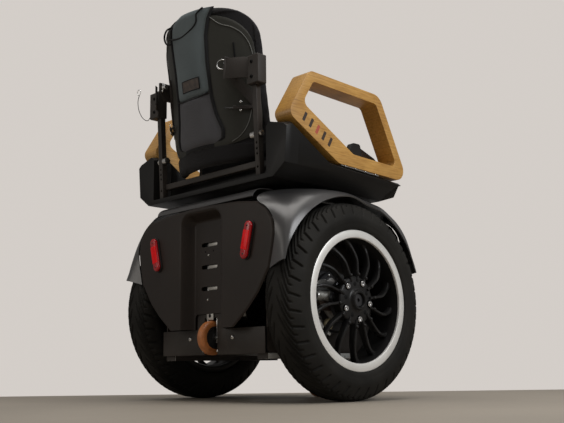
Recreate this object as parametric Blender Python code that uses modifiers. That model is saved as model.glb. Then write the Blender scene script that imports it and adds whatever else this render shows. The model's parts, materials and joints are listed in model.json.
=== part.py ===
"""Self-balancing two-wheeled mobility chair: chassis on one axle, seat with wooden armrests, contour back.

Frame: metres, +Z up, +Y the way the sitter faces, +X the sitter's right. The origin is on the floor, under the
middle of the chair's box. Shapes are written in axle coordinates, with y = 0 on the wheel axle, and hang on an
empty at AXLE_Y.
"""

from math import asin, atan2, cos, pi, radians, sin

import bmesh
import bpy
from mathutils import Matrix, Vector

# ---------------------------------------------------------------- driving dimensions
AXLE_Y = -0.0052          # the axle, behind the middle of the chair's box
AXLE_Z = 0.250            # tyre radius, so the axle's height
WHEEL_X = 0.289           # middle plane of each tyre
TYRE_HALF_WIDTH = 0.056
RIM_RADIUS = 0.178        # machined lip
WHEEL_STEPS = 30          # rim and tyre turn in the same steps, so the bead clears its seat all round
SPOKES = 14
WHEEL_BOLTS = 5
BOLT_CIRCLE = 0.048

CHASSIS_X = 0.2075        # half width of the chassis box
CHASSIS_BOTTOM = 0.120
END_PLATE_Y = 0.2057      # outer face of the end plates
END_PLATE_TOP = 0.186
SHELL_Y = 0.242           # outer face of the front and rear shells
SKIN = 0.004              # moulded shells
FENDER_SKIN = 0.003
PLATE = 0.0034            # steel plates
GAP = 0.0004              # clearance between pieces that touch

CHANNEL_FLOOR_Y = 0.211   # floor of the recess in each shell
LEG_HALF_WIDTH = 0.0205   # support leg, a flat bar
LEG_Y = 0.2018            # its outer face, just behind the end plate
ROLLER_R = 0.045
ROLLER_HALF = 0.013
ROLLER_Y = 0.200
ROLLER_UP_Z = 0.164       # roller centre with the leg drawn up
SUPPORT_TRAVEL = ROLLER_UP_Z - ROLLER_R

RIM_TOP_REAR = 0.601      # tub rim behind, and its fall to the front
RIM_TOP_FRONT = 0.585
TUB_X = 0.312
TUB_REAR = -0.2247
TUB_FRONT = 0.217
PAN_TOP = 0.562
WELL_X = 0.214            # half width of the well that holds the cushion
POST_BAY_X = 0.238        # the same at the back, where the posts stand

WOOD_OUT = 0.310          # outer and inner faces of an armrest
WOOD_IN = 0.253
POST_X = 0.2035
POST_SIZE = 0.016
POST_FOOT_Y = -0.2125     # post's middle, at POST_FOOT_Z
POST_FOOT_Z = 0.5630
POST_TOP_Z = 0.8750
POST_LEAN = radians(3.1)

BACK_R = 0.2555           # rear surface of the contour back, a tilted cylinder
BACK_LEAN = radians(8.2)
BACK_AXIS_Y = -0.031      # the cylinder's axis at height BACK_AXIS_Z
BACK_AXIS_Z = 0.900
BACK_BOTTOM = 0.6045       # the padded liner hangs down to just above the cross bar
BACK_TOP = 1.052
PIVOT_Y = -0.2640         # recline pins
PIVOT_Z = 0.8660
EAR_X = 0.1442            # where the strap's ear and the arm's ear meet
LEVER_ANGLE = radians(42.5)
LEVER_Z = 0.7500

FOOT_HINGE_Y = 0.3050
FOOT_HINGE_Z = 0.1000
FOOT_TOP = 0.3250         # far edge of the footplate, which is drawn folded up


# ---------------------------------------------------------------- scene, collections, materials
for old in list(bpy.data.objects):
    bpy.data.objects.remove(old, do_unlink=True)

chair = bpy.data.collections.new("balance_chair")
cutters = bpy.data.collections.new("cutters")
for group in (chair, cutters):
    bpy.context.scene.collection.children.link(group)

axle_frame = bpy.data.objects.new("axle_frame", None)
axle_frame.location = (0.0, AXLE_Y, 0.0)
chair.objects.link(axle_frame)

PALETTE = {
    "black_paint": ((0.012, 0.012, 0.013), 0.45, 0.3),
    "brown_black_shell": ((0.030, 0.026, 0.023), 0.42, 0.1),
    "satin_grey": ((0.085, 0.087, 0.092), 0.34, 0.4),
    "aluminium": ((0.62, 0.60, 0.57), 0.35, 1.0),
    "machined_lip": ((0.66, 0.66, 0.66), 0.28, 1.0),
    "steel": ((0.55, 0.54, 0.52), 0.30, 1.0),
    "rubber": ((0.018, 0.018, 0.019), 0.75, 0.0),
    "polyurethane": ((0.46, 0.16, 0.05), 0.50, 0.0),
    "nylon": ((0.02, 0.02, 0.02), 0.40, 0.0),
    "wood": ((0.56, 0.33, 0.13), 0.38, 0.0),
    "red_lens": ((0.60, 0.01, 0.012), 0.08, 0.0),
    "tub": ((0.016, 0.016, 0.018), 0.38, 0.1),
    "fabric": ((0.022, 0.022, 0.024), 0.90, 0.0),
    "blue_grey_fabric": ((0.105, 0.130, 0.150), 0.85, 0.0),
    "charcoal": ((0.040, 0.040, 0.040), 0.60, 0.0),
}


def material(name):
    """The Principled material called name, made once."""
    found = bpy.data.materials.get(name)
    if found:
        return found
    colour, roughness, metallic = PALETTE[name]
    made = bpy.data.materials.new(name)
    made.use_nodes = True
    shader = made.node_tree.nodes["Principled BSDF"]
    shader.inputs["Base Color"].default_value = (*colour, 1.0)
    shader.inputs["Roughness"].default_value = roughness
    shader.inputs["Metallic"].default_value = metallic
    return made


# ---------------------------------------------------------------- modelling helpers
def add(name, mesh, colour, group=chair):
    """A new object from a mesh, hanging on the axle frame."""
    made = bpy.data.objects.new(name, mesh)
    made.parent = axle_frame
    group.objects.link(made)
    if group is cutters:
        made.hide_render = True
        made.display_type = "WIRE"
    else:
        mesh.materials.clear()
        mesh.materials.append(material(colour))
    return made


def from_bmesh(name, bm, colour, group=chair):
    bmesh.ops.recalc_face_normals(bm, faces=bm.faces)
    mesh = bpy.data.meshes.new(name)
    bm.to_mesh(mesh)
    bm.free()
    return add(name, mesh, colour, group)


def apply_modifiers(made):
    """Turns what the modifiers make into the object's own mesh, with its faces pointing out."""
    graph = bpy.context.evaluated_depsgraph_get()
    mesh = bpy.data.meshes.new_from_object(made.evaluated_get(graph))
    bm = bmesh.new()
    bm.from_mesh(mesh)
    bmesh.ops.remove_doubles(bm, verts=bm.verts, dist=0.00002)
    bmesh.ops.recalc_face_normals(bm, faces=bm.faces)
    bm.to_mesh(mesh)
    bm.free()
    made.modifiers.clear()
    made.data = mesh
    return made


def box(name, low, high, colour, bevel=0.0, segments=1, group=chair):
    """A box between two corners, with its edges bevelled."""
    low, high = Vector(low), Vector(high)
    bm = bmesh.new()
    bmesh.ops.create_cube(bm, size=1.0)
    bmesh.ops.scale(bm, vec=high - low, verts=bm.verts)
    bmesh.ops.translate(bm, vec=(low + high) / 2, verts=bm.verts)
    made = from_bmesh(name, bm, colour, group)
    if bevel:
        round_edges(made, bevel, segments)
    return made


def round_edges(made, width, segments=1, angle=35.0):
    edge = made.modifiers.new("edges", "BEVEL")
    edge.width = width
    edge.segments = segments
    edge.limit_method = "ANGLE"
    edge.angle_limit = radians(angle)
    return apply_modifiers(made)


def rod(name, start, end, radius, colour, sides=20, group=chair, end_radius=None):
    """A cylinder, or a cone, from start to end."""
    start, end = Vector(start), Vector(end)
    along = end - start
    turn = Vector((0, 0, 1)).rotation_difference(along).to_matrix().to_4x4()
    bm = bmesh.new()
    bmesh.ops.create_cone(bm, cap_ends=True, segments=sides, radius1=radius,
                          radius2=end_radius or radius, depth=along.length,
                          matrix=Matrix.Translation((start + end) / 2) @ turn)
    return from_bmesh(name, bm, colour, group)


def turned(name, profile, centre, colour, steps=32, group=chair):
    """A closed profile of (radius, x) points turned round the X direction through centre."""
    mesh = bpy.data.meshes.new(name)
    count = len(profile)
    mesh.from_pydata([(radius, 0.0, x) for radius, x in profile],
                     [(i, (i + 1) % count) for i in range(count)], [])
    made = add(name, mesh, colour, group)
    screw = made.modifiers.new("turn", "SCREW")
    screw.steps = steps
    screw.render_steps = steps
    screw.use_merge_vertices = True
    screw.merge_threshold = 0.00005
    apply_modifiers(made)
    made.data.transform(Matrix.Translation(centre) @ Matrix.Rotation(pi / 2, 4, "Y"))
    return made


PLANES = {
    "XY": Matrix(((1, 0, 0, 0), (0, 1, 0, 0), (0, 0, 1, 0), (0, 0, 0, 1))),
    "XZ": Matrix(((1, 0, 0, 0), (0, 0, -1, 0), (0, 1, 0, 0), (0, 0, 0, 1))),
    "YZ": Matrix(((0, 0, 1, 0), (1, 0, 0, 0), (0, 1, 0, 0), (0, 0, 0, 1))),
}


def plate(name, outlines, plane, low, high, colour, bevel=0.0, segments=1, group=chair):
    """Flat outlines in a plane, thick from low to high along the third axis. Inner outlines are holes."""
    flat = bpy.data.curves.new(name, "CURVE")
    flat.dimensions = "2D"
    flat.fill_mode = "BOTH"
    flat.extrude = (high - low) / 2
    for outline in outlines:
        spline = flat.splines.new("POLY")
        spline.points.add(len(outline) - 1)
        for point, (u, v) in zip(spline.points, outline):
            point.co = (u, v, 0.0, 1.0)
        spline.use_cyclic_u = True
    guide = bpy.data.objects.new(name + "_outline", flat)
    chair.objects.link(guide)
    graph = bpy.context.evaluated_depsgraph_get()
    mesh = bpy.data.meshes.new_from_object(guide.evaluated_get(graph))
    bpy.data.objects.remove(guide)
    axis = {"XY": 2, "XZ": 1, "YZ": 0}[plane]
    middle = Vector((0, 0, 0))
    middle[axis] = (low + high) / 2
    mesh.transform(Matrix.Translation(middle) @ PLANES[plane])
    bm = bmesh.new()
    bm.from_mesh(mesh)
    bmesh.ops.remove_doubles(bm, verts=bm.verts, dist=0.00002)
    bmesh.ops.dissolve_limit(bm, angle_limit=radians(0.5), verts=bm.verts, edges=bm.edges)
    made = from_bmesh(name, bm, colour, group)
    if bevel:
        round_edges(made, bevel, segments)
    return made


def tube(name, points, radius, colour, resolution=2, closed=False, group=chair):
    """A round bar through the points."""
    path = bpy.data.curves.new(name, "CURVE")
    path.dimensions = "3D"
    path.bevel_depth = radius
    path.bevel_resolution = resolution
    path.use_fill_caps = not closed
    spline = path.splines.new("POLY")
    spline.points.add(len(points) - 1)
    for point, place in zip(spline.points, points):
        point.co = (*place, 1.0)
    spline.use_cyclic_u = closed
    guide = bpy.data.objects.new(name + "_path", path)
    chair.objects.link(guide)
    graph = bpy.context.evaluated_depsgraph_get()
    mesh = bpy.data.meshes.new_from_object(guide.evaluated_get(graph))
    bpy.data.objects.remove(guide)
    bm = bmesh.new()
    bm.from_mesh(mesh)
    bmesh.ops.remove_doubles(bm, verts=bm.verts, dist=0.00002)
    return from_bmesh(name, bm, colour, group)


def loft(name, rings, colour, group=chair):
    """A closed solid through rings that have the same number of points, with flat ends."""
    bm = bmesh.new()
    rows = [[bm.verts.new(point) for point in ring] for ring in rings]
    count = len(rows[0])
    for near, far in zip(rows, rows[1:]):
        for i in range(count):
            bm.faces.new((near[i], near[(i + 1) % count], far[(i + 1) % count], far[i]))
    bm.faces.new(rows[0])
    bm.faces.new(rows[-1])
    return from_bmesh(name, bm, colour, group)


def combine(made, other, operation):
    """Boolean of made with other, which becomes a cutter."""
    if other.name not in cutters.objects:
        for group in list(other.users_collection):
            group.objects.unlink(other)
        cutters.objects.link(other)
        other.hide_render = True
        other.display_type = "WIRE"
    step = made.modifiers.new(operation.lower(), "BOOLEAN")
    step.operation = operation
    step.solver = "EXACT"
    step.object = other
    apply_modifiers(made)
    bpy.data.objects.remove(other)
    return made


def cut(made, other):
    return combine(made, other, "DIFFERENCE")


def join(made, other):
    return combine(made, other, "UNION")


def mirrored(made, name):
    """The same piece on the sitter's left."""
    mesh = made.data.copy()
    mesh.transform(Matrix.Diagonal((-1, 1, 1, 1)))
    mesh.flip_normals()
    twin = bpy.data.objects.new(name, mesh)
    twin.parent = axle_frame
    x, y, z = made.location
    twin.location = (-x, y, z)
    chair.objects.link(twin)
    return twin


def hinge_at(made, point):
    """Moves the object's origin onto its joint's axis."""
    made.data.transform(Matrix.Translation(-Vector(point)))
    made.location = point
    return made


def smooth(made):
    made.data.shade_smooth()
    made.data.set_sharp_from_angle(angle=radians(32))
    return made


def arc(centre, radius, start, end, count):
    """Points on a circle, angles in degrees."""
    u, v = centre
    angles = [radians(start + (end - start) * i / (count - 1)) for i in range(count)]
    return [(u + radius * cos(a), v + radius * sin(a)) for a in angles]


def stadium(centre, length, width, lean, count=7):
    """A slot outline with round ends, its long axis lean degrees from vertical."""
    half = (length - width) / 2
    turn = Matrix.Rotation(-lean, 2)
    ends = arc((0, half), width / 2, 0, 180, count) + arc((0, -half), width / 2, 180, 360, count)
    return [(centre[0] + (turn @ Vector(p))[0], centre[1] + (turn @ Vector(p))[1]) for p in ends]


def rounded(corners, radius, count=4):
    """A polygon with each corner turned into an arc. radius is one number, or one for each corner."""
    radii = radius if isinstance(radius, (list, tuple)) else [radius] * len(corners)
    points = []
    for i, corner in enumerate(corners):
        here = Vector(corner)
        before = (Vector(corners[i - 1]) - here).normalized()
        after = (Vector(corners[(i + 1) % len(corners)]) - here).normalized()
        half_angle = before.angle(after) / 2
        reach = radii[i] / sin(half_angle)
        centre = here + (before + after).normalized() * reach
        start = here + before * (radii[i] / (sin(half_angle) / cos(half_angle)))
        end = here + after * (radii[i] / (sin(half_angle) / cos(half_angle)))
        a0 = atan2(start.y - centre.y, start.x - centre.x)
        a1 = atan2(end.y - centre.y, end.x - centre.x)
        if a1 - a0 > pi:
            a1 -= 2 * pi
        if a0 - a1 > pi:
            a1 += 2 * pi
        for k in range(count):
            angle = a0 + (a1 - a0) * k / (count - 1)
            points.append((centre.x + radii[i] * cos(angle), centre.y + radii[i] * sin(angle)))
    return points


# ---------------------------------------------------------------- wheels
def wheel():
    """Rim with spokes and hub, tyre, and the drive flange whose studs hold the rim. Right-hand side."""
    centre = (WHEEL_X, 0, AXLE_Z)
    inner = RIM_RADIUS - 0.021
    rim = turned("right_rim", [
        (RIM_RADIUS, 0.050), (RIM_RADIUS, 0.044), (0.1675, 0.042), (0.1675, -0.042), (RIM_RADIUS, -0.044),
        (RIM_RADIUS, -0.049), (0.170, -0.049), (inner + 0.001, -0.041), (inner - 0.001, 0.029),
        (inner, 0.050)], centre, "black_paint", steps=WHEEL_STEPS)
    hub = turned("hub_block", [
        (0.024, 0.051), (0.024, 0.040), (0.060, 0.037), (0.068, 0.031), (0.066, 0.015), (0.0180, 0.013),
        (0.0180, 0.051)], centre, "black_paint", steps=20)
    spoke_mesh = bmesh.new()
    for i in range(SPOKES):
        lean = 0.35 if i % 2 else -0.35
        turn = Matrix.Rotation(2 * pi * (i + 0.5 * (i % 2)) / SPOKES - 0.5 * pi / SPOKES, 4, "X")
        mid = Vector((0.028, 0.0, 0.0))
        bar = bmesh.ops.create_cube(spoke_mesh, size=1.0)["verts"]
        bmesh.ops.scale(spoke_mesh, vec=(0.014, 0.011, 0.108), verts=bar)
        bmesh.ops.rotate(spoke_mesh, verts=bar, cent=(0, 0, 0), matrix=Matrix.Rotation(lean * 0.35, 3, "X"))
        bmesh.ops.translate(spoke_mesh, vec=mid + Vector((0, 0, 0.1095)), verts=bar)
        bmesh.ops.transform(spoke_mesh, matrix=Matrix.Translation(centre) @ turn, verts=bar)
    spokes = from_bmesh("spoke_set", spoke_mesh, "black_paint")
    join(rim, spokes)
    join(rim, hub)

    flange = turned("right_drive_flange", [
        (0.0175, 0.045), (0.0175, 0.0125), (0.060, 0.0125), (0.060, -0.001), (0.030, -0.003), (0.030, -0.017),
        (0.0, -0.017), (0.0, 0.045)], centre, "steel", steps=16)
    for i in range(WHEEL_BOLTS):
        angle = radians(63 + i * 360 / WHEEL_BOLTS)
        y, z = BOLT_CIRCLE * cos(angle), AXLE_Z + BOLT_CIRCLE * sin(angle)
        x0 = WHEEL_X
        cut(rim, rod("stud_hole", (x0, y, z), (x0 + 0.07, y, z), 0.0056, "steel", 8, cutters))
        join(flange, rod("stud", (x0 + 0.005, y, z), (x0 + 0.042, y, z), 0.0050, "steel", 8))
        join(flange, rod("cap_nut", (x0 + 0.0390, y, z), (x0 + 0.0465, y, z), 0.0075, "steel", 8,
                         end_radius=0.0055))

    half = TYRE_HALF_WIDTH
    side = [(0.1787, 0.0435), (0.1787, 0.0520), (0.196, half - 0.001), (0.208, half), (0.2220, half - 0.0045),
            (0.2345, half - 0.0105), (0.2435, half - 0.0185), (0.2482, half - 0.030)]
    cavity = [(0.1680, 0.0300), (0.188, 0.0440), (0.215, half - 0.009), (0.2335, half - 0.0200)]
    right_half = list(reversed(cavity)) + [(0.1680, 0.0405)] + side + [(AXLE_Z, 0.008)]
    profile = right_half + [(r, -x) for r, x in reversed(right_half)]
    tyre = turned("right_tyre", profile, centre, "rubber", steps=WHEEL_STEPS)
    for piece in (rim, flange, tyre):
        smooth(hinge_at(piece, centre))
        mirrored(piece, piece.name.replace("right", "left"))


wheel()


# ---------------------------------------------------------------- chassis box
def chassis():
    inside = CHASSIS_X - 0.006
    side = plate("right_side_plate",
                 [rounded([(-0.195, 0.1225), (0.195, 0.1225), (0.195, 0.400), (0.150, 0.470),
                           (-0.150, 0.470), (-0.195, 0.400)], 0.012, 3),
                  arc((0, AXLE_Z), 0.052, 0, 345, 24)],
                 "YZ", inside, inside + 0.005, "black_paint")
    mirrored(side, "left_side_plate")

    notch = LEG_HALF_WIDTH + 0.003
    reach = ROLLER_Y - ROLLER_R - 0.006
    edge = inside + 0.005
    plate("belly_plate",
          [[(-edge, -0.195), (-notch, -0.195), (-notch, -reach), (notch, -reach), (notch, -0.195), (edge, -0.195),
            (edge, 0.195), (notch, 0.195), (notch, reach), (-notch, reach), (-notch, 0.195), (-edge, 0.195)]],
          "XY", CHASSIS_BOTTOM, CHASSIS_BOTTOM + 0.002, "aluminium")
    for side_of in (-1, 1):
        xs = sorted((side_of * 0.168, side_of * (edge - 0.0005)))
        rail = box("rail", (xs[0], -0.1945, 0.1070), (xs[1], 0.1945, CHASSIS_BOTTOM + 0.001), "aluminium")
        join(bpy.data.objects["belly_plate"], rail)

    # Each end plate is slotted for the roller and fork, and bridged by a tab above them.
    slot, tab = LEG_HALF_WIDTH + 0.0050, 0.0560
    half = [(slot, 0.2160), (slot, CHASSIS_BOTTOM), (CHASSIS_X, CHASSIS_BOTTOM), (CHASSIS_X, END_PLATE_TOP),
            (tab, END_PLATE_TOP), (tab, 0.2350)]
    outline = half + [(-x, z) for x, z in reversed(half)]
    for name, way in (("rear_end_plate", -1), ("front_end_plate", 1)):
        y0, y1 = sorted((way * (END_PLATE_Y - PLATE), way * END_PLATE_Y))
        plate(name, [outline], "XZ", y0, y1, "black_paint")

    box("chassis_deck", (-inside + GAP, -0.148, 0.462), (inside - GAP, 0.148, 0.468), "aluminium")
    # The battery stands ahead of the motors, which puts the centre of mass ahead of the axle.
    box("battery_pack", (-0.190, 0.0525, 0.1235), (0.190, 0.1530, 0.3250), "nylon", 0.006)
    controller = box("motor_controller", (-0.110, -0.070, 0.330), (0.110, 0.150, 0.372), "aluminium", 0.003)
    for i in range(9):
        x = -0.096 + 0.024 * i
        cut(controller, box("fin_gap", (x - 0.006, -0.080, 0.352), (x + 0.006, 0.160, 0.380), "aluminium",
                            group=cutters))
    box("balance_sensor", (-0.030, -0.028, 0.3725), (0.030, 0.028, 0.392), "nylon", 0.003)


chassis()


def drive_units():
    """A gearbox drum on each side plate, and a motor inside the box behind it."""
    centre = (0, 0, AXLE_Z)
    gearbox = turned("right_gearbox", [
        (0.0, 0.2690), (0.024, 0.2690), (0.040, 0.2630), (0.074, 0.2600), (0.080, 0.2540), (0.080, 0.2420),
        (0.076, 0.2400), (0.076, 0.2200), (0.084, 0.2180), (0.084, 0.2080), (0.050, 0.2080), (0.050, 0.1900),
        (0.0, 0.1900)], centre, "aluminium", steps=22)
    smooth(gearbox)
    mirrored(gearbox, "left_gearbox")
    motor = turned("right_drive_motor", [
        (0.0, 0.1895), (0.046, 0.1895), (0.048, 0.185), (0.048, 0.150), (0.045, 0.147), (0.045, 0.060),
        (0.040, 0.052), (0.0, 0.052)], centre, "steel", steps=24)
    smooth(motor)
    mirrored(motor, "left_drive_motor")


drive_units()


# ---------------------------------------------------------------- body shells
# Half outline of a shell's flat face, from the bottom inner corner round to the top middle: (x, z).
SHELL_BORDER = [(0.130, 0.186), (0.182, 0.226), (0.222, 0.265), (0.262, 0.322), (0.276, 0.377),
                (0.281, 0.410), (0.276, 0.440), (0.255, 0.469), (0.222, 0.491), (0.148, 0.501), (0.0, 0.508)]
CHANNEL_HALF = 0.084
FLOOR_HALF = 0.060


def channel_edge(half, shoulder, top, low):
    """The arched edge of a channel: up one side, round the top, down the other."""
    radius = 0.022
    right = [(half, low), (half, shoulder)] + arc((half - radius, top - radius), radius, 0, 90, 4)
    return right + [(-x, z) for x, z in reversed(right)]


def shell(name, way):
    """A shell panel with its recessed channel. way is -1 behind and 1 in front."""
    outer = SHELL_BORDER[::-1][1:]
    border = [(0.0, 0.508)] + outer
    left = [(-x, z) for x, z in SHELL_BORDER[:-1]]
    mouth = channel_edge(CHANNEL_HALF, 0.455, 0.496, END_PLATE_TOP)
    floor = channel_edge(FLOOR_HALF, 0.448, 0.470, END_PLATE_TOP)
    bm = bmesh.new()
    face_y, floor_y = way * SHELL_Y, way * CHANNEL_FLOOR_Y

    def verts(points, y):
        return [bm.verts.new((x, y, z)) for x, z in points]

    ring = verts(border, face_y)
    ring_left = verts(left, face_y)
    lip = verts(mouth, face_y)
    base = verts(floor, floor_y)
    bm.faces.new(ring + lip + ring_left)
    for i in range(len(lip) - 1):
        bm.faces.new((lip[i], lip[i + 1], base[i + 1], base[i]))
    sill_right = bm.verts.new((FLOOR_HALF, floor_y, 0.225))
    sill_left = bm.verts.new((-FLOOR_HALF, floor_y, 0.225))
    # The floor stops above the roller: its sides run on down as free edges.
    bm.faces.new([sill_right] + base[1:-1] + [sill_left])
    for low, sill, high, lip_low, lip_high in (
            (base[0], sill_right, base[1], lip[0], lip[1]),
            (base[-1], sill_left, base[-2], lip[-1], lip[-2])):
        wall = [f for f in bm.faces if {low, high, lip_low, lip_high} == set(f.verts)][0]
        bm.faces.remove(wall)
        bm.faces.new((lip_low, lip_high, high, sill, low))
    made = from_bmesh(name, bm, "brown_black_shell")
    skin = made.modifiers.new("skin", "SOLIDIFY")
    skin.thickness = SKIN
    skin.offset = 1.0 if solidify_outward(made, way) else -1.0
    skin.use_even_offset = True
    apply_modifiers(made)
    return made


def solidify_outward(made, way):
    """True if the flat face's normal points into the chair, so the skin grows the right way."""
    face = max(made.data.polygons, key=lambda f: f.area)
    return face.normal.y * way < 0


rear_shell = shell("rear_shell", -1)
for z in (0.4095, 0.3500, 0.2925):
    cut(rear_shell, box("slot", (-0.0330, -0.225, z - 0.0055), (0.0325, -0.200, z + 0.0055), "steel",
                        group=cutters))
front_shell = shell("front_shell", 1)


def fender():
    """A guard over the wheel: a skin from the shell borders out to the wheel arch. Right-hand side."""
    arch_r, arch_x = 0.2665, 0.3270
    seam = 0.0040
    border = []
    for i in range(3, 9):
        along = Vector(SHELL_BORDER[i + 1]) - Vector(SHELL_BORDER[i - 1])
        away = Vector((along.y, -along.x)).normalized() * seam
        border.append((SHELL_BORDER[i][0] + away.x, -SHELL_Y + 0.0010, SHELL_BORDER[i][1] + away.y))
    border += [(0.2130, -0.2200, 0.5130), (0.2060, -0.1500, 0.5330), (0.2020, 0.0, 0.5300)]
    angles = [19, 26, 33, 41, 50, 58, 67, 79, 90]             # of the arch, up from straight behind
    fullness = [0.3, 0.6, 1.0, 1.3, 1.5, 1.4, 1.2, 1.0, 1.0]
    across = [(0.0, 0.0), (0.26, 0.0060), (0.52, 0.0110), (0.76, 0.0165), (0.91, 0.0100), (1.0, 0.0)]
    rows = []
    for place, angle, full in zip(border, angles, fullness):
        a = radians(angle)
        start = Vector(place)
        edge = Vector((arch_x, -arch_r * cos(a), AXLE_Z + arch_r * sin(a)))
        outward = Vector((0.30 * cos(a), -cos(a), sin(a))).normalized()
        rows.append([start.lerp(edge, t) + outward * (rise * full) for t, rise in across])
    for row, drop in reversed(list(zip(rows[:-1], [0, 0, 0, 0, 0, 0.001, 0.003, 0.009]))):
        rows.append([Vector((p.x, -p.y, p.z - drop)) for p in row])
    bm = bmesh.new()
    grid = [[bm.verts.new(p) for p in row] for row in rows]
    for near, far in zip(grid, grid[1:]):
        for i in range(len(across) - 1):
            bm.faces.new((near[i], near[i + 1], far[i + 1], far[i]))
    made = from_bmesh("right_fender", bm, "satin_grey")
    skin = made.modifiers.new("skin", "SOLIDIFY")
    skin.thickness = FENDER_SKIN
    middle = made.data.polygons[len(made.data.polygons) // 2]
    skin.offset = -1.0 if middle.normal.z > 0 else 1.0
    apply_modifiers(made)
    smooth(made)
    mirrored(made, "left_fender")


fender()

TOP_OUTLINE = [(-0.2370, 0.5085), (-0.2310, 0.5200), (-0.2190, 0.5280), (-0.2020, 0.5320), (-0.1640, 0.5330),
               (-0.1560, 0.5215), (0.1560, 0.5215), (0.1640, 0.5300), (0.2020, 0.5290), (0.2190, 0.5250),
               (0.2310, 0.5180), (0.2370, 0.5085)]
plate("top_cover", [TOP_OUTLINE + [(y, z - 0.0035) for y, z in (
    (0.2335, 0.5085), (0.2285, 0.5170), (0.2180, 0.5235), (0.2015, 0.5270), (0.1655, 0.5280), (0.1575, 0.5205),
    (-0.1575, 0.5205), (-0.1655, 0.5310), (-0.2015, 0.5300), (-0.2180, 0.5265), (-0.2285, 0.5190),
    (-0.2335, 0.5085))]], "YZ", -0.1985, 0.1985, "black_paint")
pedestal = box("seat_pedestal", (-0.075, -0.090, 0.4685), (0.075, 0.090, 0.5240), "black_paint")
cut(bpy.data.objects["top_cover"], box("opening", (-0.078, -0.093, 0.50), (0.078, 0.093, 0.53), "steel",
                                       group=cutters))


def tail_lamp():
    lean = radians(14)
    place = (0.190, 0.397)
    lamp = plate("right_tail_lamp", [stadium(place, 0.100, 0.030, lean)], "XZ", -SHELL_Y - 0.0130,
                 -SHELL_Y - GAP, "red_lens", bevel=0.003)
    mirrored(lamp, "left_tail_lamp")


tail_lamp()


# ---------------------------------------------------------------- parking supports
def support(prefix, way, drop):
    """A leg that slides down behind or in front of the chassis, with a roller in its fork."""
    z = ROLLER_UP_Z - drop
    y0, y1 = sorted((way * (LEG_Y - 0.0045), way * LEG_Y))
    w = LEG_HALF_WIDTH
    cheek = 0.0045
    leg = plate(prefix + "_support_leg", [[(-w, z + 0.054), (w, z + 0.054), (w, 0.452 - drop),
                                           (-w, 0.452 - drop)]], "XZ", y0, y1, "steel")
    for side in (-1, 1):
        x0, x1 = sorted((side * w, side * (w - cheek)))
        fork_y = sorted((way * LEG_Y, way * (LEG_Y - 0.022)))
        join(leg, box("cheek", (x0, fork_y[0], z - 0.014), (x1, fork_y[1], z + 0.058), "steel"))
    join(leg, rod("roller_axle", (-w - 0.004, way * ROLLER_Y, z), (w + 0.004, way * ROLLER_Y, z), 0.0045,
                  "steel", 14))
    centre = (0, way * ROLLER_Y, z)
    hub = turned(prefix + "_roller_hub", [(0.029, 0.0125), (0.029, -0.0125), (0.0075, -0.0150), (0.0050, -0.0150),
                                          (0.0050, 0.0150), (0.0075, 0.0150)], centre, "nylon", steps=20)
    tread = turned(prefix + "_roller_tread", [
        (0.0294, ROLLER_HALF), (0.038, ROLLER_HALF), (0.0435, 0.0095), (ROLLER_R, 0.004), (ROLLER_R, -0.004),
        (0.0435, -0.0095), (0.038, -ROLLER_HALF), (0.0294, -ROLLER_HALF)], centre, "polyurethane", steps=24)
    for piece in (hub, tread):
        smooth(hinge_at(piece, centre))


support("rear", -1, 0.0)
support("front", 1, SUPPORT_TRAVEL)


# ---------------------------------------------------------------- footrest
def footrest():
    x, y, z = 0.130, FOOT_HINGE_Y, FOOT_HINGE_Z
    start = END_PLATE_Y + GAP
    half = [(-x, start, 0.158), (-x, start + 0.040, 0.158), (-x, start + 0.056, 0.152), (-x, y - 0.022, z + 0.024),
            (-x, y - 0.006, z + 0.006), (-x + 0.012, y, z)]
    tube("footrest_frame", half + [(-px, py, pz) for px, py, pz in reversed(half)], 0.010, "black_paint", 2)
    deck = plate("footplate", [rounded([(-0.175, z + 0.022), (0.175, z + 0.022), (0.165, FOOT_TOP),
                                        (-0.165, FOOT_TOP)], 0.030, 4)], "XZ", y - 0.004, y + 0.004,
                 "aluminium")
    for side in (-1, 1):
        for step in (0.045, 0.085):
            xs = sorted((side * (step - 0.012), side * (step + 0.012)))
            join(deck, rod("knuckle", (xs[0], y, z), (xs[1], y, z), 0.0160, "aluminium", 14))
    cut(deck, rod("bore", (-0.2, y, z), (0.2, y, z), 0.0108, "aluminium", 14, cutters))
    for side in (-1, 1):
        xs = sorted((side * 0.033, side * 0.097))
        web = box("web", (xs[0], y - 0.004, z + 0.012), (xs[1], y + 0.004, z + 0.030), "aluminium")
        join(deck, web)
    hinge_at(deck, (0, y, z))


footrest()


# ---------------------------------------------------------------- seat
def rim_height(y):
    """Top of the tub's rim at y, on its level stretch."""
    rear, front = -0.045, TUB_FRONT
    return RIM_TOP_REAR + (RIM_TOP_FRONT - RIM_TOP_REAR) * (y - rear) / (front - rear)


def tub():
    """The seat moulding: two broad side walls, raised behind, and a pan between them."""
    def ring(y, rim, inner_top, bottom, well=WELL_X, foot=0.262):
        half = [(foot, bottom), (TUB_X - 0.008, bottom + 0.030), (TUB_X, rim - 0.008), (TUB_X - 0.010, rim),
                (well + 0.012, inner_top), (well, inner_top - 0.010), (well, PAN_TOP)]
        loop = half + [(-x, z) for x, z in reversed(half)]
        return [(x, y, z) for x, z in loop]

    front = rim_height(0.180)
    loft("seat_tub", [
        ring(TUB_REAR, 0.676, 0.691, 0.549, POST_BAY_X), ring(-0.203, 0.684, 0.694, 0.5485, POST_BAY_X),
        ring(-0.190, 0.6761, 0.6860, 0.5484, POST_BAY_X), ring(-0.180, 0.6701, 0.6820, 0.5484),
        ring(-0.070, 0.6035, 0.606, 0.5480), ring(-0.050, 0.6010, 0.6010, 0.5475),
        ring(0.180, front, front, 0.5350), ring(TUB_FRONT, RIM_TOP_FRONT, RIM_TOP_FRONT, 0.5480, foot=0.285)],
        "tub")


tub()
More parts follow.
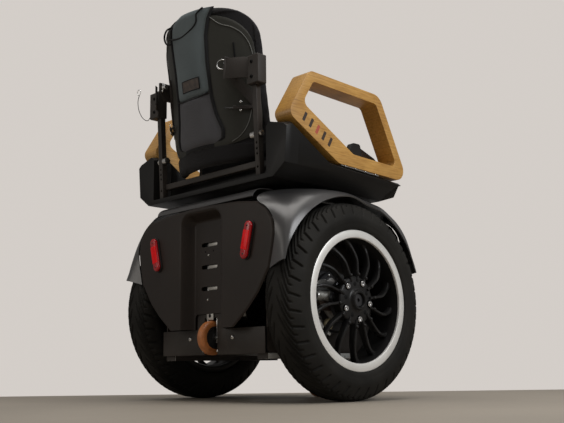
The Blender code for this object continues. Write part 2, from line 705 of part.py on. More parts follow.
# The cushion's rear edge follows the curve of the back, so the back can recline past it.
CUSHION_REAR = [(-0.206, -0.076), (-0.170, -0.094), (-0.128, -0.140), (-0.084, -0.166)]
CUSHION = CUSHION_REAR + [(-x, y) for x, y in reversed(CUSHION_REAR)] + [(0.206, 0.228), (-0.206, 0.228)]
plate("seat_cushion", [rounded(CUSHION, 0.014, 3)], "XY", PAN_TOP + 0.0010, 0.6340, "fabric", bevel=0.012,
      segments=3)
# The pan's underside is 0.5350 at its lowest, so the frame under it ends just below that.
frame = box("seat_frame", (-0.170, -0.150, 0.5246), (0.170, 0.150, 0.5344), "steel")
for side in (-1, 1):
    for y in (-0.075, 0.075):
        xs = sorted((side * 0.045, side * 0.135))
        cut(frame, box("window", (xs[0], y - 0.050, 0.52), (xs[1], y + 0.050, 0.54), "steel", group=cutters))


# ---------------------------------------------------------------- armrests
# Outline seen from the side, (y, z): rear-low, rear-top, front-top, front-low, foot.
ARM_OUTER = [(-0.216, 0.704), (-0.138, 0.830), (0.138, 0.820), (0.252, 0.5905), (-0.035, 0.6030)]
ARM_OUTER_R = [0.022, 0.026, 0.040, 0.030, 0.050]
ARM_WIDTHS = [0.026, 0.027, 0.026, 0.035, 0.057]      # of the rails that start at those corners
ARM_INNER_R = [0.018, 0.014, 0.016, 0.014, 0.020]


def inset(corners, widths):
    """The corners of a polygon whose sides have each moved in by their own width."""
    lines = []
    for i, corner in enumerate(corners):
        start, end = Vector(corner), Vector(corners[(i + 1) % len(corners)])
        along = (end - start).normalized()
        inward = Vector((along.y, -along.x))
        lines.append((start + inward * widths[i], along))
    points = []
    for i in range(len(lines)):
        (p, u), (q, v) = lines[i - 1], lines[i]
        cross = u.x * v.y - u.y * v.x
        gap = q - p
        points.append(tuple(p + u * ((gap.x * v.y - gap.y * v.x) / cross)))
    return points


def armrest():
    """A hexagon-like loop of laminated wood on a hinge plate. Right-hand side."""
    hole = inset(ARM_OUTER, ARM_WIDTHS)
    wood = plate("right_armrest", [rounded(ARM_OUTER, ARM_OUTER_R, 5), rounded(hole, ARM_INNER_R, 4)], "YZ",
                 WOOD_IN, WOOD_OUT, "wood", bevel=0.010, segments=2)
    smooth(hinge_at(wood, (WOOD_OUT, 0.045, hinge_height(0.045))))
    mirrored(wood, "left_armrest")
    plate_low = loft("right_armrest_hinge", [
        [(WOOD_IN + 0.004, y, rim_height(y) + 0.0006), (WOOD_OUT - 0.003, y, rim_height(y) + 0.0006),
         (WOOD_OUT - 0.003, y, hinge_height(y)), (WOOD_IN + 0.004, y, hinge_height(y))]
        for y in (-0.022, 0.128)], "steel")
    mirrored(plate_low, "left_armrest_hinge")


def hinge_height(y):
    """Height of the armrest hinge strip's top at y, just under the wood."""
    foot, front = Vector(ARM_OUTER[4]), Vector(ARM_OUTER[3])
    return foot.y + (front.y - foot.y) * (y - foot.x) / (front.x - foot.x) - GAP


armrest()


def hand_control():
    """Bracket on the inner side of the right armrest, and the lever that turns on it."""
    x0, x1 = WOOD_IN - 0.0285, WOOD_IN - GAP
    bracket = plate("control_bracket", [rounded([(0.060, 0.6150), (0.122, 0.6120), (0.126, 0.6560), (0.118, 0.6900),
                                                 (0.090, 0.6900), (0.064, 0.6560)], 0.006, 3)], "YZ", x0 + 0.018,
                    x1, "nylon", bevel=0.0012)
    pivot = (x0 + 0.009, 0.104, 0.6760)
    join(bracket, rod("pivot_pin", (x0 - 0.003, pivot[1], pivot[2]), (x0 + 0.020, pivot[1], pivot[2]), 0.0045,
                      "nylon", 14))
    lever = plate("control_lever", [rounded([(0.088, 0.6780), (0.096, 0.6920), (0.114, 0.6905), (0.190, 0.6640),
                                             (0.206, 0.6520), (0.200, 0.6440), (0.160, 0.6470), (0.100, 0.6620)],
                                            0.005, 3)], "YZ", x0, x0 + 0.0176, "nylon", bevel=0.002)
    cut(lever, rod("lever_bore", (x0 - 0.01, pivot[1], pivot[2]), (x0 + 0.04, pivot[1], pivot[2]), 0.0049, "nylon",
                   20, cutters))
    hinge_at(lever, pivot)


hand_control()


# ---------------------------------------------------------------- back posts and backrest
def post_y(z):
    return POST_FOOT_Y - (z - POST_FOOT_Z) * sin(POST_LEAN) / cos(POST_LEAN)


def posts():
    half = POST_SIZE / 2
    rings = [[(POST_X + sx * half, post_y(z) + sy * half, z) for sx, sy in ((-1, -1), (1, -1), (1, 1), (-1, 1))]
             for z in (POST_FOOT_Z, POST_TOP_Z)]
    post = loft("right_back_post", rings, "black_paint")
    for z in (0.584, 0.618, 0.631, 0.646):
        y = post_y(z)
        cut(post, rod("row_hole", (POST_X, y - 0.02, z), (POST_X, y + 0.02, z), 0.0032, "steel", 10, cutters))
    y = post_y(0.670)
    cut(post, rod("bolt_hole", (POST_X - 0.02, y, 0.670), (POST_X + 0.02, y, 0.670), 0.0043, "steel", 12, cutters))
    mirrored(post, "left_back_post")
    knob = rod("right_post_knob", (POST_X - 0.023, y, 0.670), (POST_X - half - GAP, y, 0.670), 0.0095, "steel", 14)
    join(knob, rod("bolt", (POST_X - half - 0.002, y, 0.670), (POST_X + half + 0.004, y, 0.670), 0.0038, "steel",
                   12))
    join(knob, rod("nut", (POST_X + half + GAP, y, 0.670), (POST_X + half + 0.0075, y, 0.670), 0.0075, "steel", 6))
    mirrored(knob, "left_post_knob")
    inside = POST_X - half - GAP
    box("back_cross_bar", (-inside, -0.2140, 0.5867), (inside, -0.1980, 0.6030), "black_paint", 0.0012)


posts()


def back_point(angle, z, radius):
    """A point on the tilted back cylinder: angle from straight behind, towards the sitter's right."""
    axis_y = BACK_AXIS_Y - (z - BACK_AXIS_Z) * sin(BACK_LEAN) / cos(BACK_LEAN)
    return (radius * sin(angle), axis_y - radius * cos(angle), z)


def curved_panel(name, outline, outer, inner, colour, columns=14, bevel=0.0, segments=1):
    """A piece of the back between two radii. outline(t) gives (bottom z, top z) for t from -1 to 1."""
    rings = []
    for i in range(columns + 1):
        t = -1 + 2 * i / columns
        angle, low, high = outline(t)
        rings.append([back_point(angle, low, outer), back_point(angle, high, outer),
                      back_point(angle, high, inner), back_point(angle, low, inner)])
    made = loft(name, rings, colour)
    if bevel:
        round_edges(made, bevel, segments)
    return smooth(made)


def back_outline(half_angle, bottom, top, corner_low, corner_high, power=2.6):
    """Superellipse corners: the panel is tallest in its middle and rounds off to its sides."""
    def outline(t):
        fall = (1 - abs(t) ** power) ** (1 / power) if abs(t) < 1 else 0.0
        return half_angle * t, bottom + corner_low * (1 - fall), top - corner_high * (1 - fall)
    return outline


curved_panel("back_shell", back_outline(radians(46), 0.655, 1.012, 0.075, 0.125), BACK_R, BACK_R - 0.0040,
             "charcoal", 16)
curved_panel("back_cushion", back_outline(radians(52.5), BACK_BOTTOM, BACK_TOP, 0.045, 0.145, 3.0),
             BACK_R - 0.0045, BACK_R - 0.0380, "fabric", 18, 0.008, 2)
curved_panel("back_centre_panel", back_outline(radians(16.5), 0.668, 1.040, 0.012, 0.018, 4.0), BACK_R + 0.0040,
             BACK_R + 0.0005, "blue_grey_fabric", 8)


def post_clamp():
    """A sleeve round the post with a strap that reaches in to an ear for the recline pin. Right-hand side."""
    half = POST_SIZE / 2 + GAP
    z0, z1 = 0.7960, 0.8720
    y_mid = post_y((z0 + z1) / 2)
    clamp = box("right_post_clamp", (POST_X - 0.0130, y_mid - 0.0190, z0), (POST_X + 0.0290, y_mid + 0.0130, z1),
                "black_paint", 0.002)
    inner_line = [(POST_X - 0.006, y_mid - 0.0125), (0.188, -0.2520), (0.172, -0.2640), (0.156, -0.2740),
                  (0.1500, -0.2860)]
    outer_line = [(x, y - 0.0045) for x, y in inner_line[:-1]]
    join(clamp, plate("strap", [inner_line + [(0.1455, -0.2860)] + outer_line[::-1]], "XY", 0.8150, z1 - 0.002,
                      "black_paint"))
    join(clamp, box("ear", (EAR_X + GAP, -0.2860, 0.8510), (EAR_X + 0.0050, -0.2540, 0.8790), "black_paint"))
    cut(clamp, loft("post_way", [[(POST_X + sx * half, post_y(z) + sy * half, z)
                                  for sx, sy in ((-1, -1), (1, -1), (1, 1), (-1, 1))] for z in (0.78, 0.89)],
                    "steel", cutters))
    cut(clamp, rod("pin_way", (0.12, PIVOT_Y, PIVOT_Z), (0.17, PIVOT_Y, PIVOT_Z), 0.0046, "steel", 14, cutters))
    mirrored(clamp, "left_post_clamp")


def back_arm():
    """A diagonal arm on the shell: an ear for the recline pin above, the release lever's pivot below."""
    near, far = radians(27), radians(44)

    def outline(t):
        share = (t + 1) / 2
        return near + (far - near) * share, 0.835 - 0.100 * share, 0.885 - 0.110 * share

    arm = curved_panel("right_back_arm", outline, BACK_R + 0.0050, BACK_R + 0.0006, "black_paint", 5)
    inner_angle = asin((EAR_X - 0.0055) / BACK_R)
    foot_low, foot_high = [back_point(inner_angle, z, BACK_R + 0.0020)[1] for z in (0.8280, 0.8780)]
    join(arm, plate("ear", [[(-0.2620, 0.8280), (foot_low, 0.8280), (foot_high, 0.8780), (-0.2780, 0.8780),
                             (-0.2780, 0.8530)]], "YZ", EAR_X - 0.0055, EAR_X, "black_paint"))
    cut(arm, rod("pin_way", (0.12, PIVOT_Y, PIVOT_Z), (0.17, PIVOT_Y, PIVOT_Z), 0.0046, "steel", 14, cutters))
    inner, outer = [Vector(back_point(LEVER_ANGLE, LEVER_Z, BACK_R + r)) for r in (0.0030, 0.0130)]
    join(arm, rod("lever_pivot", inner, outer, 0.0030, "black_paint", 10))
    smooth(arm)
    hinge_at(arm, (0, PIVOT_Y, PIVOT_Z))
    mirrored(arm, "left_back_arm")


def release_pin():
    """The recline pin with its head and pull ring. It pulls out towards the middle."""
    head_x = EAR_X - 0.0060
    pin = rod("right_release_pin", (head_x - 0.001, PIVOT_Y, PIVOT_Z), (EAR_X + 0.0080, PIVOT_Y, PIVOT_Z), 0.0042,
              "steel", 14)
    join(pin, rod("head", (head_x - 0.0100, PIVOT_Y, PIVOT_Z), (head_x, PIVOT_Y, PIVOT_Z), 0.0070, "steel", 14))
    ring_r, count = 0.0125, 14
    ring = [(head_x - 0.0070, PIVOT_Y - 0.0060 + ring_r * cos(2 * pi * i / count),
             PIVOT_Z - 0.0060 + ring_r * sin(2 * pi * i / count)) for i in range(count)]
    join(pin, tube("ring", ring, 0.0012, "steel", 0, closed=True))
    smooth(pin)
    mirrored(pin, "left_release_pin")


def release_lever():
    """A short thumb lever that turns on the arm's lower pivot and points at the middle of the back."""
    turn = Matrix.Rotation(LEVER_ANGLE, 4, "Z")
    centre = Vector(back_point(LEVER_ANGLE, LEVER_Z, BACK_R + 0.0055))
    lever = box("right_release_lever", (-0.0600, -0.0050, -0.0050), (0.0080, 0.0, 0.0050), "black_paint", 0.0012)
    cut(lever, rod("bore", (0, -0.02, 0), (0, 0.02, 0), 0.0034, "steel", 12, cutters))
    lever.data.transform(Matrix.Translation(centre) @ turn)
    hinge_at(lever, centre)
    mirrored(lever, "left_release_lever")


post_clamp()
back_arm()
release_pin()
release_lever()

for made in chair.objects:
    if made.type == "MESH":
        made.data.validate()
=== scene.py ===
"""Looks of the self-balancing mobility chair: finer shapes, fabric and materials around the CAD frame.

Shapes are written in axle coordinates, as in the part's source: metres, y = 0 on the wheel axle, +X the
sitter's right. put() moves them into the row frame.
"""

import json
from math import acos, asin, atan2, cos, pi, radians, sin, sqrt, tan

import bmesh
import bpy
import numpy as np
from mathutils import Matrix, Vector

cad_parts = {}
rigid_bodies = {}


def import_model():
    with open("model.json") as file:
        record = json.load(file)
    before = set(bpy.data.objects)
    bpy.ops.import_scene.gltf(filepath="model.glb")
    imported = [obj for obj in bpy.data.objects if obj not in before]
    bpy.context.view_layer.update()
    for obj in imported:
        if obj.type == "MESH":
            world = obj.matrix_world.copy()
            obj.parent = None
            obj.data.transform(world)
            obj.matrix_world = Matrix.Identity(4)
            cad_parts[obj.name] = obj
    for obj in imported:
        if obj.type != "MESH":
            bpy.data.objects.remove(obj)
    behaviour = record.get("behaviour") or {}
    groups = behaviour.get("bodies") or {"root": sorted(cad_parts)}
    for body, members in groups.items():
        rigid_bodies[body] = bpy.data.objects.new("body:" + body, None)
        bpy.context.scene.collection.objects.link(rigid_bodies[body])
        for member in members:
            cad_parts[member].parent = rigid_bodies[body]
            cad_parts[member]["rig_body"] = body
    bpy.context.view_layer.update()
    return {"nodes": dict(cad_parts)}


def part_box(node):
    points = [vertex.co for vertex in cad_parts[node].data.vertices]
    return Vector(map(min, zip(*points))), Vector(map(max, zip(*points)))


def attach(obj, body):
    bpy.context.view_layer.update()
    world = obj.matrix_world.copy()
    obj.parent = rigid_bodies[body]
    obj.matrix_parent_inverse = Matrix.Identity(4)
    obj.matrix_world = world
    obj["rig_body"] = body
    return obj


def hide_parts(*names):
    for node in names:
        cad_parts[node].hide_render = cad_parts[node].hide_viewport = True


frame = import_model()

# ---------------------------------------------------------------- driving dimensions
tyre_low, tyre_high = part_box("right_tyre")
AXLE = (tyre_low + tyre_high) / 2
AXLE_Y = AXLE.y
AXLE_Z = AXLE.z
TYRE_R = tyre_high.z - AXLE_Z
SHELL_Y = AXLE_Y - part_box("rear_shell")[0].y
SIDES = ((1, "right"), (-1, "left"))
HERE = Matrix.Translation((0.0, AXLE_Y, 0.0))


# ---------------------------------------------------------------- materials
def mix(a, b, share):
    return tuple(x + (y - x) * share for x, y in zip(a, b))


class Surface:
    """A material whose colour, roughness and bump come from noise in the object's own space."""

    def __init__(self, name, colour, roughness, metallic=0.0, tone=0.12, tone_scale=9.0, spread=0.06,
                 spread_scale=60.0, bump=0.1, bump_scale=700.0, depth=0.0002, stretch=(1.0, 1.0, 1.0), **sockets):
        self.material = bpy.data.materials.new(name)
        self.material.use_nodes = True
        self.tree = self.material.node_tree
        self.shader = self.tree.nodes["Principled BSDF"]
        self.shader.inputs["Metallic"].default_value = metallic
        for socket, value in sockets.items():
            self.shader.inputs[socket.replace("_", " ")].default_value = value
        place = self.node("ShaderNodeTexCoord").outputs["Object"]
        self.space = self.node("ShaderNodeMapping")
        self.space.inputs["Scale"].default_value = stretch
        self.link(place, self.space.inputs["Vector"])
        cloud = self.noise(tone_scale, 4.0)
        dark, light = mix(colour, (0, 0, 0), tone), tuple(min(1.0, part * (1 + tone)) for part in colour)
        self.colour = self.ramp(cloud, [(0.30, dark), (0.70, light)])
        self.link(self.colour, self.shader.inputs["Base Color"])
        grain = self.node("ShaderNodeMapRange")
        grain.inputs["To Min"].default_value = max(0.02, roughness - spread)
        grain.inputs["To Max"].default_value = min(1.0, roughness + spread)
        self.link(self.noise(spread_scale, 5.0), grain.inputs["Value"])
        self.link(grain.outputs["Result"], self.shader.inputs["Roughness"])
        self.height = self.noise(bump_scale, 3.0)
        self.bump = self.node("ShaderNodeBump")
        self.bump.inputs["Strength"].default_value = bump
        self.bump.inputs["Distance"].default_value = depth
        self.link(self.height, self.bump.inputs["Height"])
        self.link(self.bump.outputs["Normal"], self.shader.inputs["Normal"])

    def node(self, kind):
        return self.tree.nodes.new(kind)

    def link(self, a, b):
        self.tree.links.new(a, b)

    def noise(self, scale, detail, space=None):
        made = self.node("ShaderNodeTexNoise")
        made.inputs["Scale"].default_value = scale
        made.inputs["Detail"].default_value = detail
        self.link((space or self.space).outputs["Vector"], made.inputs["Vector"])
        return made.outputs["Fac"]

    def wave(self, period, direction, distortion=0.0, space=None):
        """Stripes of that period, in metres, that repeat along one direction."""
        made = self.node("ShaderNodeTexWave")
        made.bands_direction = direction
        made.inputs["Scale"].default_value = pi / 10 / period
        made.inputs["Distortion"].default_value = distortion
        self.link((space or self.space).outputs["Vector"], made.inputs["Vector"])
        return made.outputs["Fac"]

    def ramp(self, value, stops):
        made = self.node("ShaderNodeValToRGB")
        steps = made.color_ramp.elements
        while len(steps) < len(stops):
            steps.new(0.5)
        for step, (place, colour) in zip(steps, stops):
            step.position = place
            step.color = (*colour, 1.0)
        self.link(value, made.inputs["Fac"])
        return made.outputs["Color"]

    def maths(self, operation, a, b):
        made = self.node("ShaderNodeMath")
        made.operation = operation
        for socket, value in zip(made.inputs, (a, b)):
            if isinstance(value, (int, float)):
                socket.default_value = value
            else:
                self.link(value, socket)
        return made.outputs["Value"]

    def blend(self, share, a, b, mode="MIX"):
        made = self.node("ShaderNodeMix")
        made.data_type = "RGBA"
        made.blend_type = mode
        self.link(share, made.inputs["Factor"]) if not isinstance(share, float) else setattr(
            made.inputs["Factor"], "default_value", share)
        for socket, value in ((made.inputs["A"], a), (made.inputs["B"], b)):
            if isinstance(value, tuple):
                socket.default_value = (*value, 1.0)
            else:
                self.link(value, socket)
        return made.outputs["Result"]

    def recolour(self, output):
        self.link(output, self.shader.inputs["Base Color"])

    def raise_by(self, output, distance, strength=1.0):
        """A second, coarser relief under the fine one."""
        made = self.node("ShaderNodeBump")
        made.inputs["Strength"].default_value = strength
        made.inputs["Distance"].default_value = distance
        self.link(output, made.inputs["Height"])
        self.link(made.outputs["Normal"], self.bump.inputs["Normal"])


def cloth(name, colour, pitch, tone=0.22, **more):
    """Woven fabric: two crossed sets of threads, with fluff between them."""
    made = Surface(name, colour, 0.86, tone=tone, tone_scale=7.0, bump=0.25, bump_scale=1600.0,
                   Sheen_Weight=0.06, Sheen_Roughness=0.5, Specular_IOR_Level=0.15, **more)
    weave = made.maths("MULTIPLY", made.wave(pitch, "X"), made.wave(pitch, "Z"))
    weave = made.maths("ADD", weave, made.maths("MULTIPLY", made.wave(pitch, "Y"), 0.5))
    made.raise_by(weave, 0.0004, 0.6)
    made.recolour(made.blend(made.maths("MULTIPLY", weave, 0.35), made.colour, mix(colour, (1, 1, 1), 0.03)))
    return made.material


def brushed(name, colour, roughness, along, **more):
    """Bare metal with fine scratches along one direction."""
    stretch = tuple(1.0 if i == "XYZ".index(along) else 30.0 for i in range(3))
    return Surface(name, colour, roughness, metallic=1.0, tone=0.10, tone_scale=14.0, spread=0.10,
                   spread_scale=26.0, bump=0.06, bump_scale=40.0, depth=0.0001, stretch=stretch, **more).material


def wood(name):
    """Bamboo board: strips glued side by side and long fibres."""
    light, mid, dark = (0.66, 0.375, 0.098), (0.58, 0.312, 0.072), (0.46, 0.230, 0.045)
    made = Surface(name, mid, 0.40, tone=0.10, spread=0.10, bump=0.18, bump_scale=90.0, depth=0.0003,
                   stretch=(9.0, 1.0, 9.0), Coat_Weight=0.25, Coat_Roughness=0.25)
    fibre = made.ramp(made.noise(24.0, 8.0), [(0.28, dark), (0.48, mid), (0.72, light)])
    plain = made.node("ShaderNodeMapping")
    made.link(made.node("ShaderNodeTexCoord").outputs["Object"], plain.inputs["Vector"])
    strips = made.wave(0.019, "Z", 0.6, plain)
    strip_tone = made.ramp(strips, [(0.0, (0.80, 0.78, 0.74)), (0.06, (1.0, 1.0, 1.0)), (1.0, (0.93, 0.92, 0.90))])
    cloud = made.ramp(made.noise(11.0, 3.0, plain), [(0.32, (0.80, 0.76, 0.70)), (0.66, (1.0, 1.0, 1.0))])
    made.recolour(made.blend(1.0, made.blend(1.0, fibre, strip_tone, "MULTIPLY"), cloud, "MULTIPLY"))
    made.raise_by(strips, 0.0002, 0.25)
    return made.material


SHELL = Surface("moulded_shell", (0.0225, 0.0165, 0.0130), 0.42, tone=0.18, tone_scale=5.0, spread=0.05, bump=0.16,
                bump_scale=1500.0, Coat_Weight=0.04, Coat_Roughness=0.30, Specular_IOR_Level=0.20).material
GREY = Surface("satin_grey_fender", (0.085, 0.083, 0.083), 0.36, metallic=0.50, tone=0.06, tone_scale=4.0,
               spread=0.03, bump=0.10, bump_scale=2200.0, Coat_Weight=0.25, Coat_Roughness=0.25).material
BLACK = Surface("powder_coat", (0.0400, 0.0345, 0.0305), 0.46, tone=0.25, spread=0.06, bump=0.35,
                bump_scale=1300.0, Specular_IOR_Level=0.20).material
CAST = Surface("cast_rim_black", (0.0165, 0.0160, 0.0158), 0.36, metallic=0.2, tone=0.25, spread=0.08, bump=0.25,
               bump_scale=900.0, Coat_Weight=0.08, Coat_Roughness=0.3, Specular_IOR_Level=0.20).material
LIP = Surface("machined_lip", (0.84, 0.83, 0.80), 0.42, metallic=0.35, tone=0.06, tone_scale=14.0, spread=0.08,
              bump=0.06, bump_scale=500.0).material
STEEL = brushed("steel", (0.58, 0.57, 0.55), 0.30, "Y")
CHROME = Surface("chrome", (0.80, 0.80, 0.80), 0.10, metallic=1.0, tone=0.04, spread=0.04, bump=0.02).material
ALUMINIUM = Surface("plain_aluminium", (0.50, 0.485, 0.455), 0.42, metallic=0.45, tone=0.10, tone_scale=14.0,
                    spread=0.10, bump=0.06, bump_scale=400.0).material
ZINC = Surface("zinc_plate", (0.80, 0.80, 0.77), 0.30, metallic=0.45, tone=0.2, spread=0.08, bump=0.1).material
GOLD = Surface("passivated_steel", (0.72, 0.64, 0.42), 0.30, metallic=0.4, tone=0.3, spread=0.1, bump=0.1).material
BROWN = Surface("brown_winding", (0.070, 0.040, 0.028), 0.45, tone=0.4, spread=0.1, bump=0.4,
                bump_scale=260.0).material
RUBBER = Surface("tyre_rubber", (0.0150, 0.0140, 0.0122), 0.66, tone=0.35, tone_scale=11.0, spread=0.10,
                 spread_scale=30.0, bump=0.35, bump_scale=900.0, Specular_IOR_Level=0.14).material
TREAD = Surface("orange_polyurethane", (0.44, 0.155, 0.045), 0.44, tone=0.30, tone_scale=40.0, spread=0.12,
                bump=0.25, bump_scale=500.0, Subsurface_Weight=0.05).material
NYLON = Surface("black_nylon", (0.0180, 0.0175, 0.0175), 0.48, tone=0.3, bump=0.35, bump_scale=800.0,
                Specular_IOR_Level=0.20).material
GLOSS = Surface("gloss_black", (0.018, 0.018, 0.019), 0.16, tone=0.2, spread=0.05, bump=0.05,
                Coat_Weight=0.5, Coat_Roughness=0.08).material
TUB = Surface("seat_moulding", (0.0105, 0.0098, 0.0092), 0.40, tone=0.2, tone_scale=6.0, spread=0.05, bump=0.22,
              bump_scale=1400.0, Coat_Weight=0.05, Coat_Roughness=0.3, Specular_IOR_Level=0.14).material
BACK = Surface("back_moulding", (0.0370, 0.0365, 0.0310), 0.55, tone=0.12, tone_scale=8.0, spread=0.05, bump=0.45,
               bump_scale=1100.0, depth=0.0003, Specular_IOR_Level=0.20).material
LENS = Surface("red_lens", (0.95, 0.006, 0.010), 0.20, tone=0.12, tone_scale=60.0, spread=0.03, bump=0.05,
               Specular_IOR_Level=0.15).material
LENS_DARK = Surface("red_lens_ends", (0.42, 0.006, 0.010), 0.16, tone=0.2, bump=0.05, Coat_Weight=0.2,
                    Coat_Roughness=0.05).material
CLOTH = cloth("black_cloth", (0.0105, 0.0098, 0.0108), 0.0016)
BLUE = cloth("blue_grey_cloth", (0.118, 0.143, 0.152), 0.0012, tone=0.14)
CHARCOAL = cloth("charcoal_cloth", (0.082, 0.082, 0.090), 0.0012, tone=0.16)
BINDING = cloth("binding_tape", (0.010, 0.010, 0.011), 0.0009)
PIPING = Surface("light_piping", (0.14, 0.14, 0.13), 0.42, tone=0.2, bump=0.2).material
WOOD = wood("bamboo")
INK = Surface("dark_inlay", (0.035, 0.018, 0.008), 0.5, tone=0.2, bump=0.1).material
RED_INK = Surface("red_inlay", (0.48, 0.09, 0.05), 0.5, tone=0.2, bump=0.1).material
PATCH = Surface("woven_patch", (0.050, 0.034, 0.026), 0.6, tone=0.5, tone_scale=90.0, bump=0.4,
                bump_scale=700.0).material
# Near-black paint used as painted shade: it stands in for the dark inside of holes, slots and pockets.
SHADE_PAINT = Surface("painted_recess_shade", (0.004, 0.004, 0.004), 0.8, tone=0.3, bump=0.2, Specular_IOR_Level=0.20).material


# ---------------------------------------------------------------- mesh helpers
def put(name, mesh, material, body, replaces=()):
    """A finished piece from a mesh in axle coordinates, riding on its body."""
    mesh.transform(HERE)
    mesh.materials.clear()
    for one in material if isinstance(material, (list, tuple)) else [material]:
        mesh.materials.append(one)
    made = bpy.data.objects.new(name, mesh)
    bpy.context.scene.collection.objects.link(made)
    if body:
        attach(made, body)
    if replaces:
        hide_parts(*replaces)
    return made


def shade(mesh, angle=32):
    mesh.shade_smooth()
    mesh.set_sharp_from_angle(angle=radians(angle))
    return mesh


def to_mesh(bm, name="mesh"):
    bmesh.ops.recalc_face_normals(bm, faces=bm.faces)
    mesh = bpy.data.meshes.new(name)
    bm.to_mesh(mesh)
    bm.free()
    return mesh


def refine(mesh, modifiers):
    """The mesh after a list of (type, settings) modifiers."""
    holder = bpy.data.objects.new("holder", mesh)
    bpy.context.scene.collection.objects.link(holder)
    for kind, settings in modifiers:
        step = holder.modifiers.new(kind.lower(), kind)
        for key, value in settings.items():
            setattr(step, key, value)
    graph = bpy.context.evaluated_depsgraph_get()
    made = bpy.data.meshes.new_from_object(holder.evaluated_get(graph))
    bpy.data.objects.remove(holder)
    return made


def bevelled(mesh, width, segments=3, angle=35.0):
    return refine(mesh, [("BEVEL", {"width": width, "segments": segments, "limit_method": "ANGLE",
                                    "angle_limit": radians(angle), "harden_normals": False})])


def merged(meshes):
    """Several meshes as one, each with its own material index."""
    bm = bmesh.new()
    for index, mesh in enumerate(meshes):
        first = len(bm.faces)
        bm.from_mesh(mesh)
        bm.faces.ensure_lookup_table()
        for face in bm.faces[first:]:
            face.material_index = index
    joined = bpy.data.meshes.new("joined")
    bm.to_mesh(joined)
    bm.free()
    return joined


def together(meshes):
    """Several meshes as one with a single material."""
    joined = merged(meshes)
    joined.polygons.foreach_set("material_index", [0] * len(joined.polygons))
    return joined


def mirrored(mesh, side):
    """The mesh for that side: 1 as it is, -1 its mirror image."""
    copy = mesh.copy()
    if side < 0:
        copy.transform(Matrix.Diagonal((-1, 1, 1, 1)))
        copy.flip_normals()
    return copy


def lathe(profile, centre, steps=96, axis="X"):
    """A closed (radius, along) profile turned round an axis through centre."""
    turn = {"X": Matrix.Rotation(pi / 2, 4, "Y"), "Z": Matrix.Identity(4),
            "Y": Matrix.Rotation(-pi / 2, 4, "X")}[axis]
    bm = bmesh.new()
    rings = []
    for i in range(steps):
        a = 2 * pi * i / steps
        rings.append([bm.verts.new((r * cos(a), r * sin(a), h)) for r, h in profile])
    count = len(profile)
    for i in range(steps):
        near, far = rings[i], rings[(i + 1) % steps]
        for k in range(count):
            bm.faces.new((near[k], near[(k + 1) % count], far[(k + 1) % count], far[k]))
    bmesh.ops.remove_doubles(bm, verts=bm.verts, dist=0.00001)
    bmesh.ops.transform(bm, matrix=Matrix.Translation(centre) @ turn, verts=bm.verts)
    return to_mesh(bm)


def cube(low, high, bevel=0.0, segments=2):
    low, high = Vector(low), Vector(high)
    bm = bmesh.new()
    bmesh.ops.create_cube(bm, size=1.0)
    bmesh.ops.scale(bm, vec=high - low, verts=bm.verts)
    bmesh.ops.translate(bm, vec=(low + high) / 2, verts=bm.verts)
    mesh = to_mesh(bm)
    return shade(bevelled(mesh, bevel, segments)) if bevel else mesh


def rod(start, end, radius, sides=32, end_radius=None, bevel=0.0):
    start, end = Vector(start), Vector(end)
    along = end - start
    turn = Vector((0, 0, 1)).rotation_difference(along).to_matrix().to_4x4()
    bm = bmesh.new()
    bmesh.ops.create_cone(bm, cap_ends=True, segments=sides, radius1=radius, radius2=end_radius or radius,
                          depth=along.length, matrix=Matrix.Translation((start + end) / 2) @ turn)
    mesh = to_mesh(bm)
    return shade(bevelled(mesh, bevel, 3, 50.0) if bevel else mesh, 40)


def smooth_path(points, steps=8, closed=False):
    """A Catmull-Rom curve through the points."""
    points = [Vector(p) for p in points]
    count = len(points)
    out = []
    for i in range(count if closed else count - 1):
        p0 = points[i - 1] if closed or i else points[0] * 2 - points[1]
        p1, p2 = points[i], points[(i + 1) % count]
        p3 = points[(i + 2) % count] if closed or i + 2 < count else p2 * 2 - p1
        for k in range(steps):
            t = k / steps
            out.append(0.5 * ((2 * p1) + (p2 - p0) * t + (2 * p0 - 5 * p1 + 4 * p2 - p3) * t * t
                              + (3 * p1 - p0 - 3 * p2 + p3) * t * t * t))
    return out if closed else out + [points[-1]]


def tube(points, radius, closed=False, sides=12, flat=1.0):
    """A bar along the points, round or flattened across its frame."""
    points = [Vector(p) for p in points]
    count = len(points)
    bm = bmesh.new()
    rings = []
    side = None
    for i, p in enumerate(points):
        before = points[i - 1] if closed or i else p
        after = points[(i + 1) % count] if closed or i + 1 < count else p
        tangent = (after - before).normalized()
        if side is None:
            side = tangent.orthogonal().normalized()
        side = (side - tangent * side.dot(tangent)).normalized()
        other = tangent.cross(side)
        rings.append([bm.verts.new(p + side * (radius * cos(2 * pi * k / sides))
                                   + other * (radius * flat * sin(2 * pi * k / sides))) for k in range(sides)])
    for i in range(count if closed else count - 1):
        near, far = rings[i], rings[(i + 1) % count]
        shift = 0
        if closed and i == count - 1:
            shift = min(range(sides), key=lambda s: (near[0].co - far[s].co).length)
        for k in range(sides):
            bm.faces.new((near[k], near[(k + 1) % sides], far[(k + 1 + shift) % sides], far[(k + shift) % sides]))
    if not closed:
        bm.faces.new(rings[0])
        bm.faces.new(rings[-1])
    return shade(to_mesh(bm), 60)


def sheet_of(rows, thickness=0.0, offset=-1.0):
    """A surface through rows of points, with an optional even thickness."""
    bm = bmesh.new()
    grid = [[bm.verts.new(p) for p in row] for row in rows]
    for near, far in zip(grid, grid[1:]):
        for i in range(len(near) - 1):
            bm.faces.new((near[i], near[i + 1], far[i + 1], far[i]))
    mesh = bpy.data.meshes.new("sheet")
    bm.to_mesh(mesh)
    bm.free()
    if thickness:
        mesh = refine(mesh, [("SOLIDIFY", {"thickness": thickness, "offset": offset, "use_even_offset": True})])
    return mesh


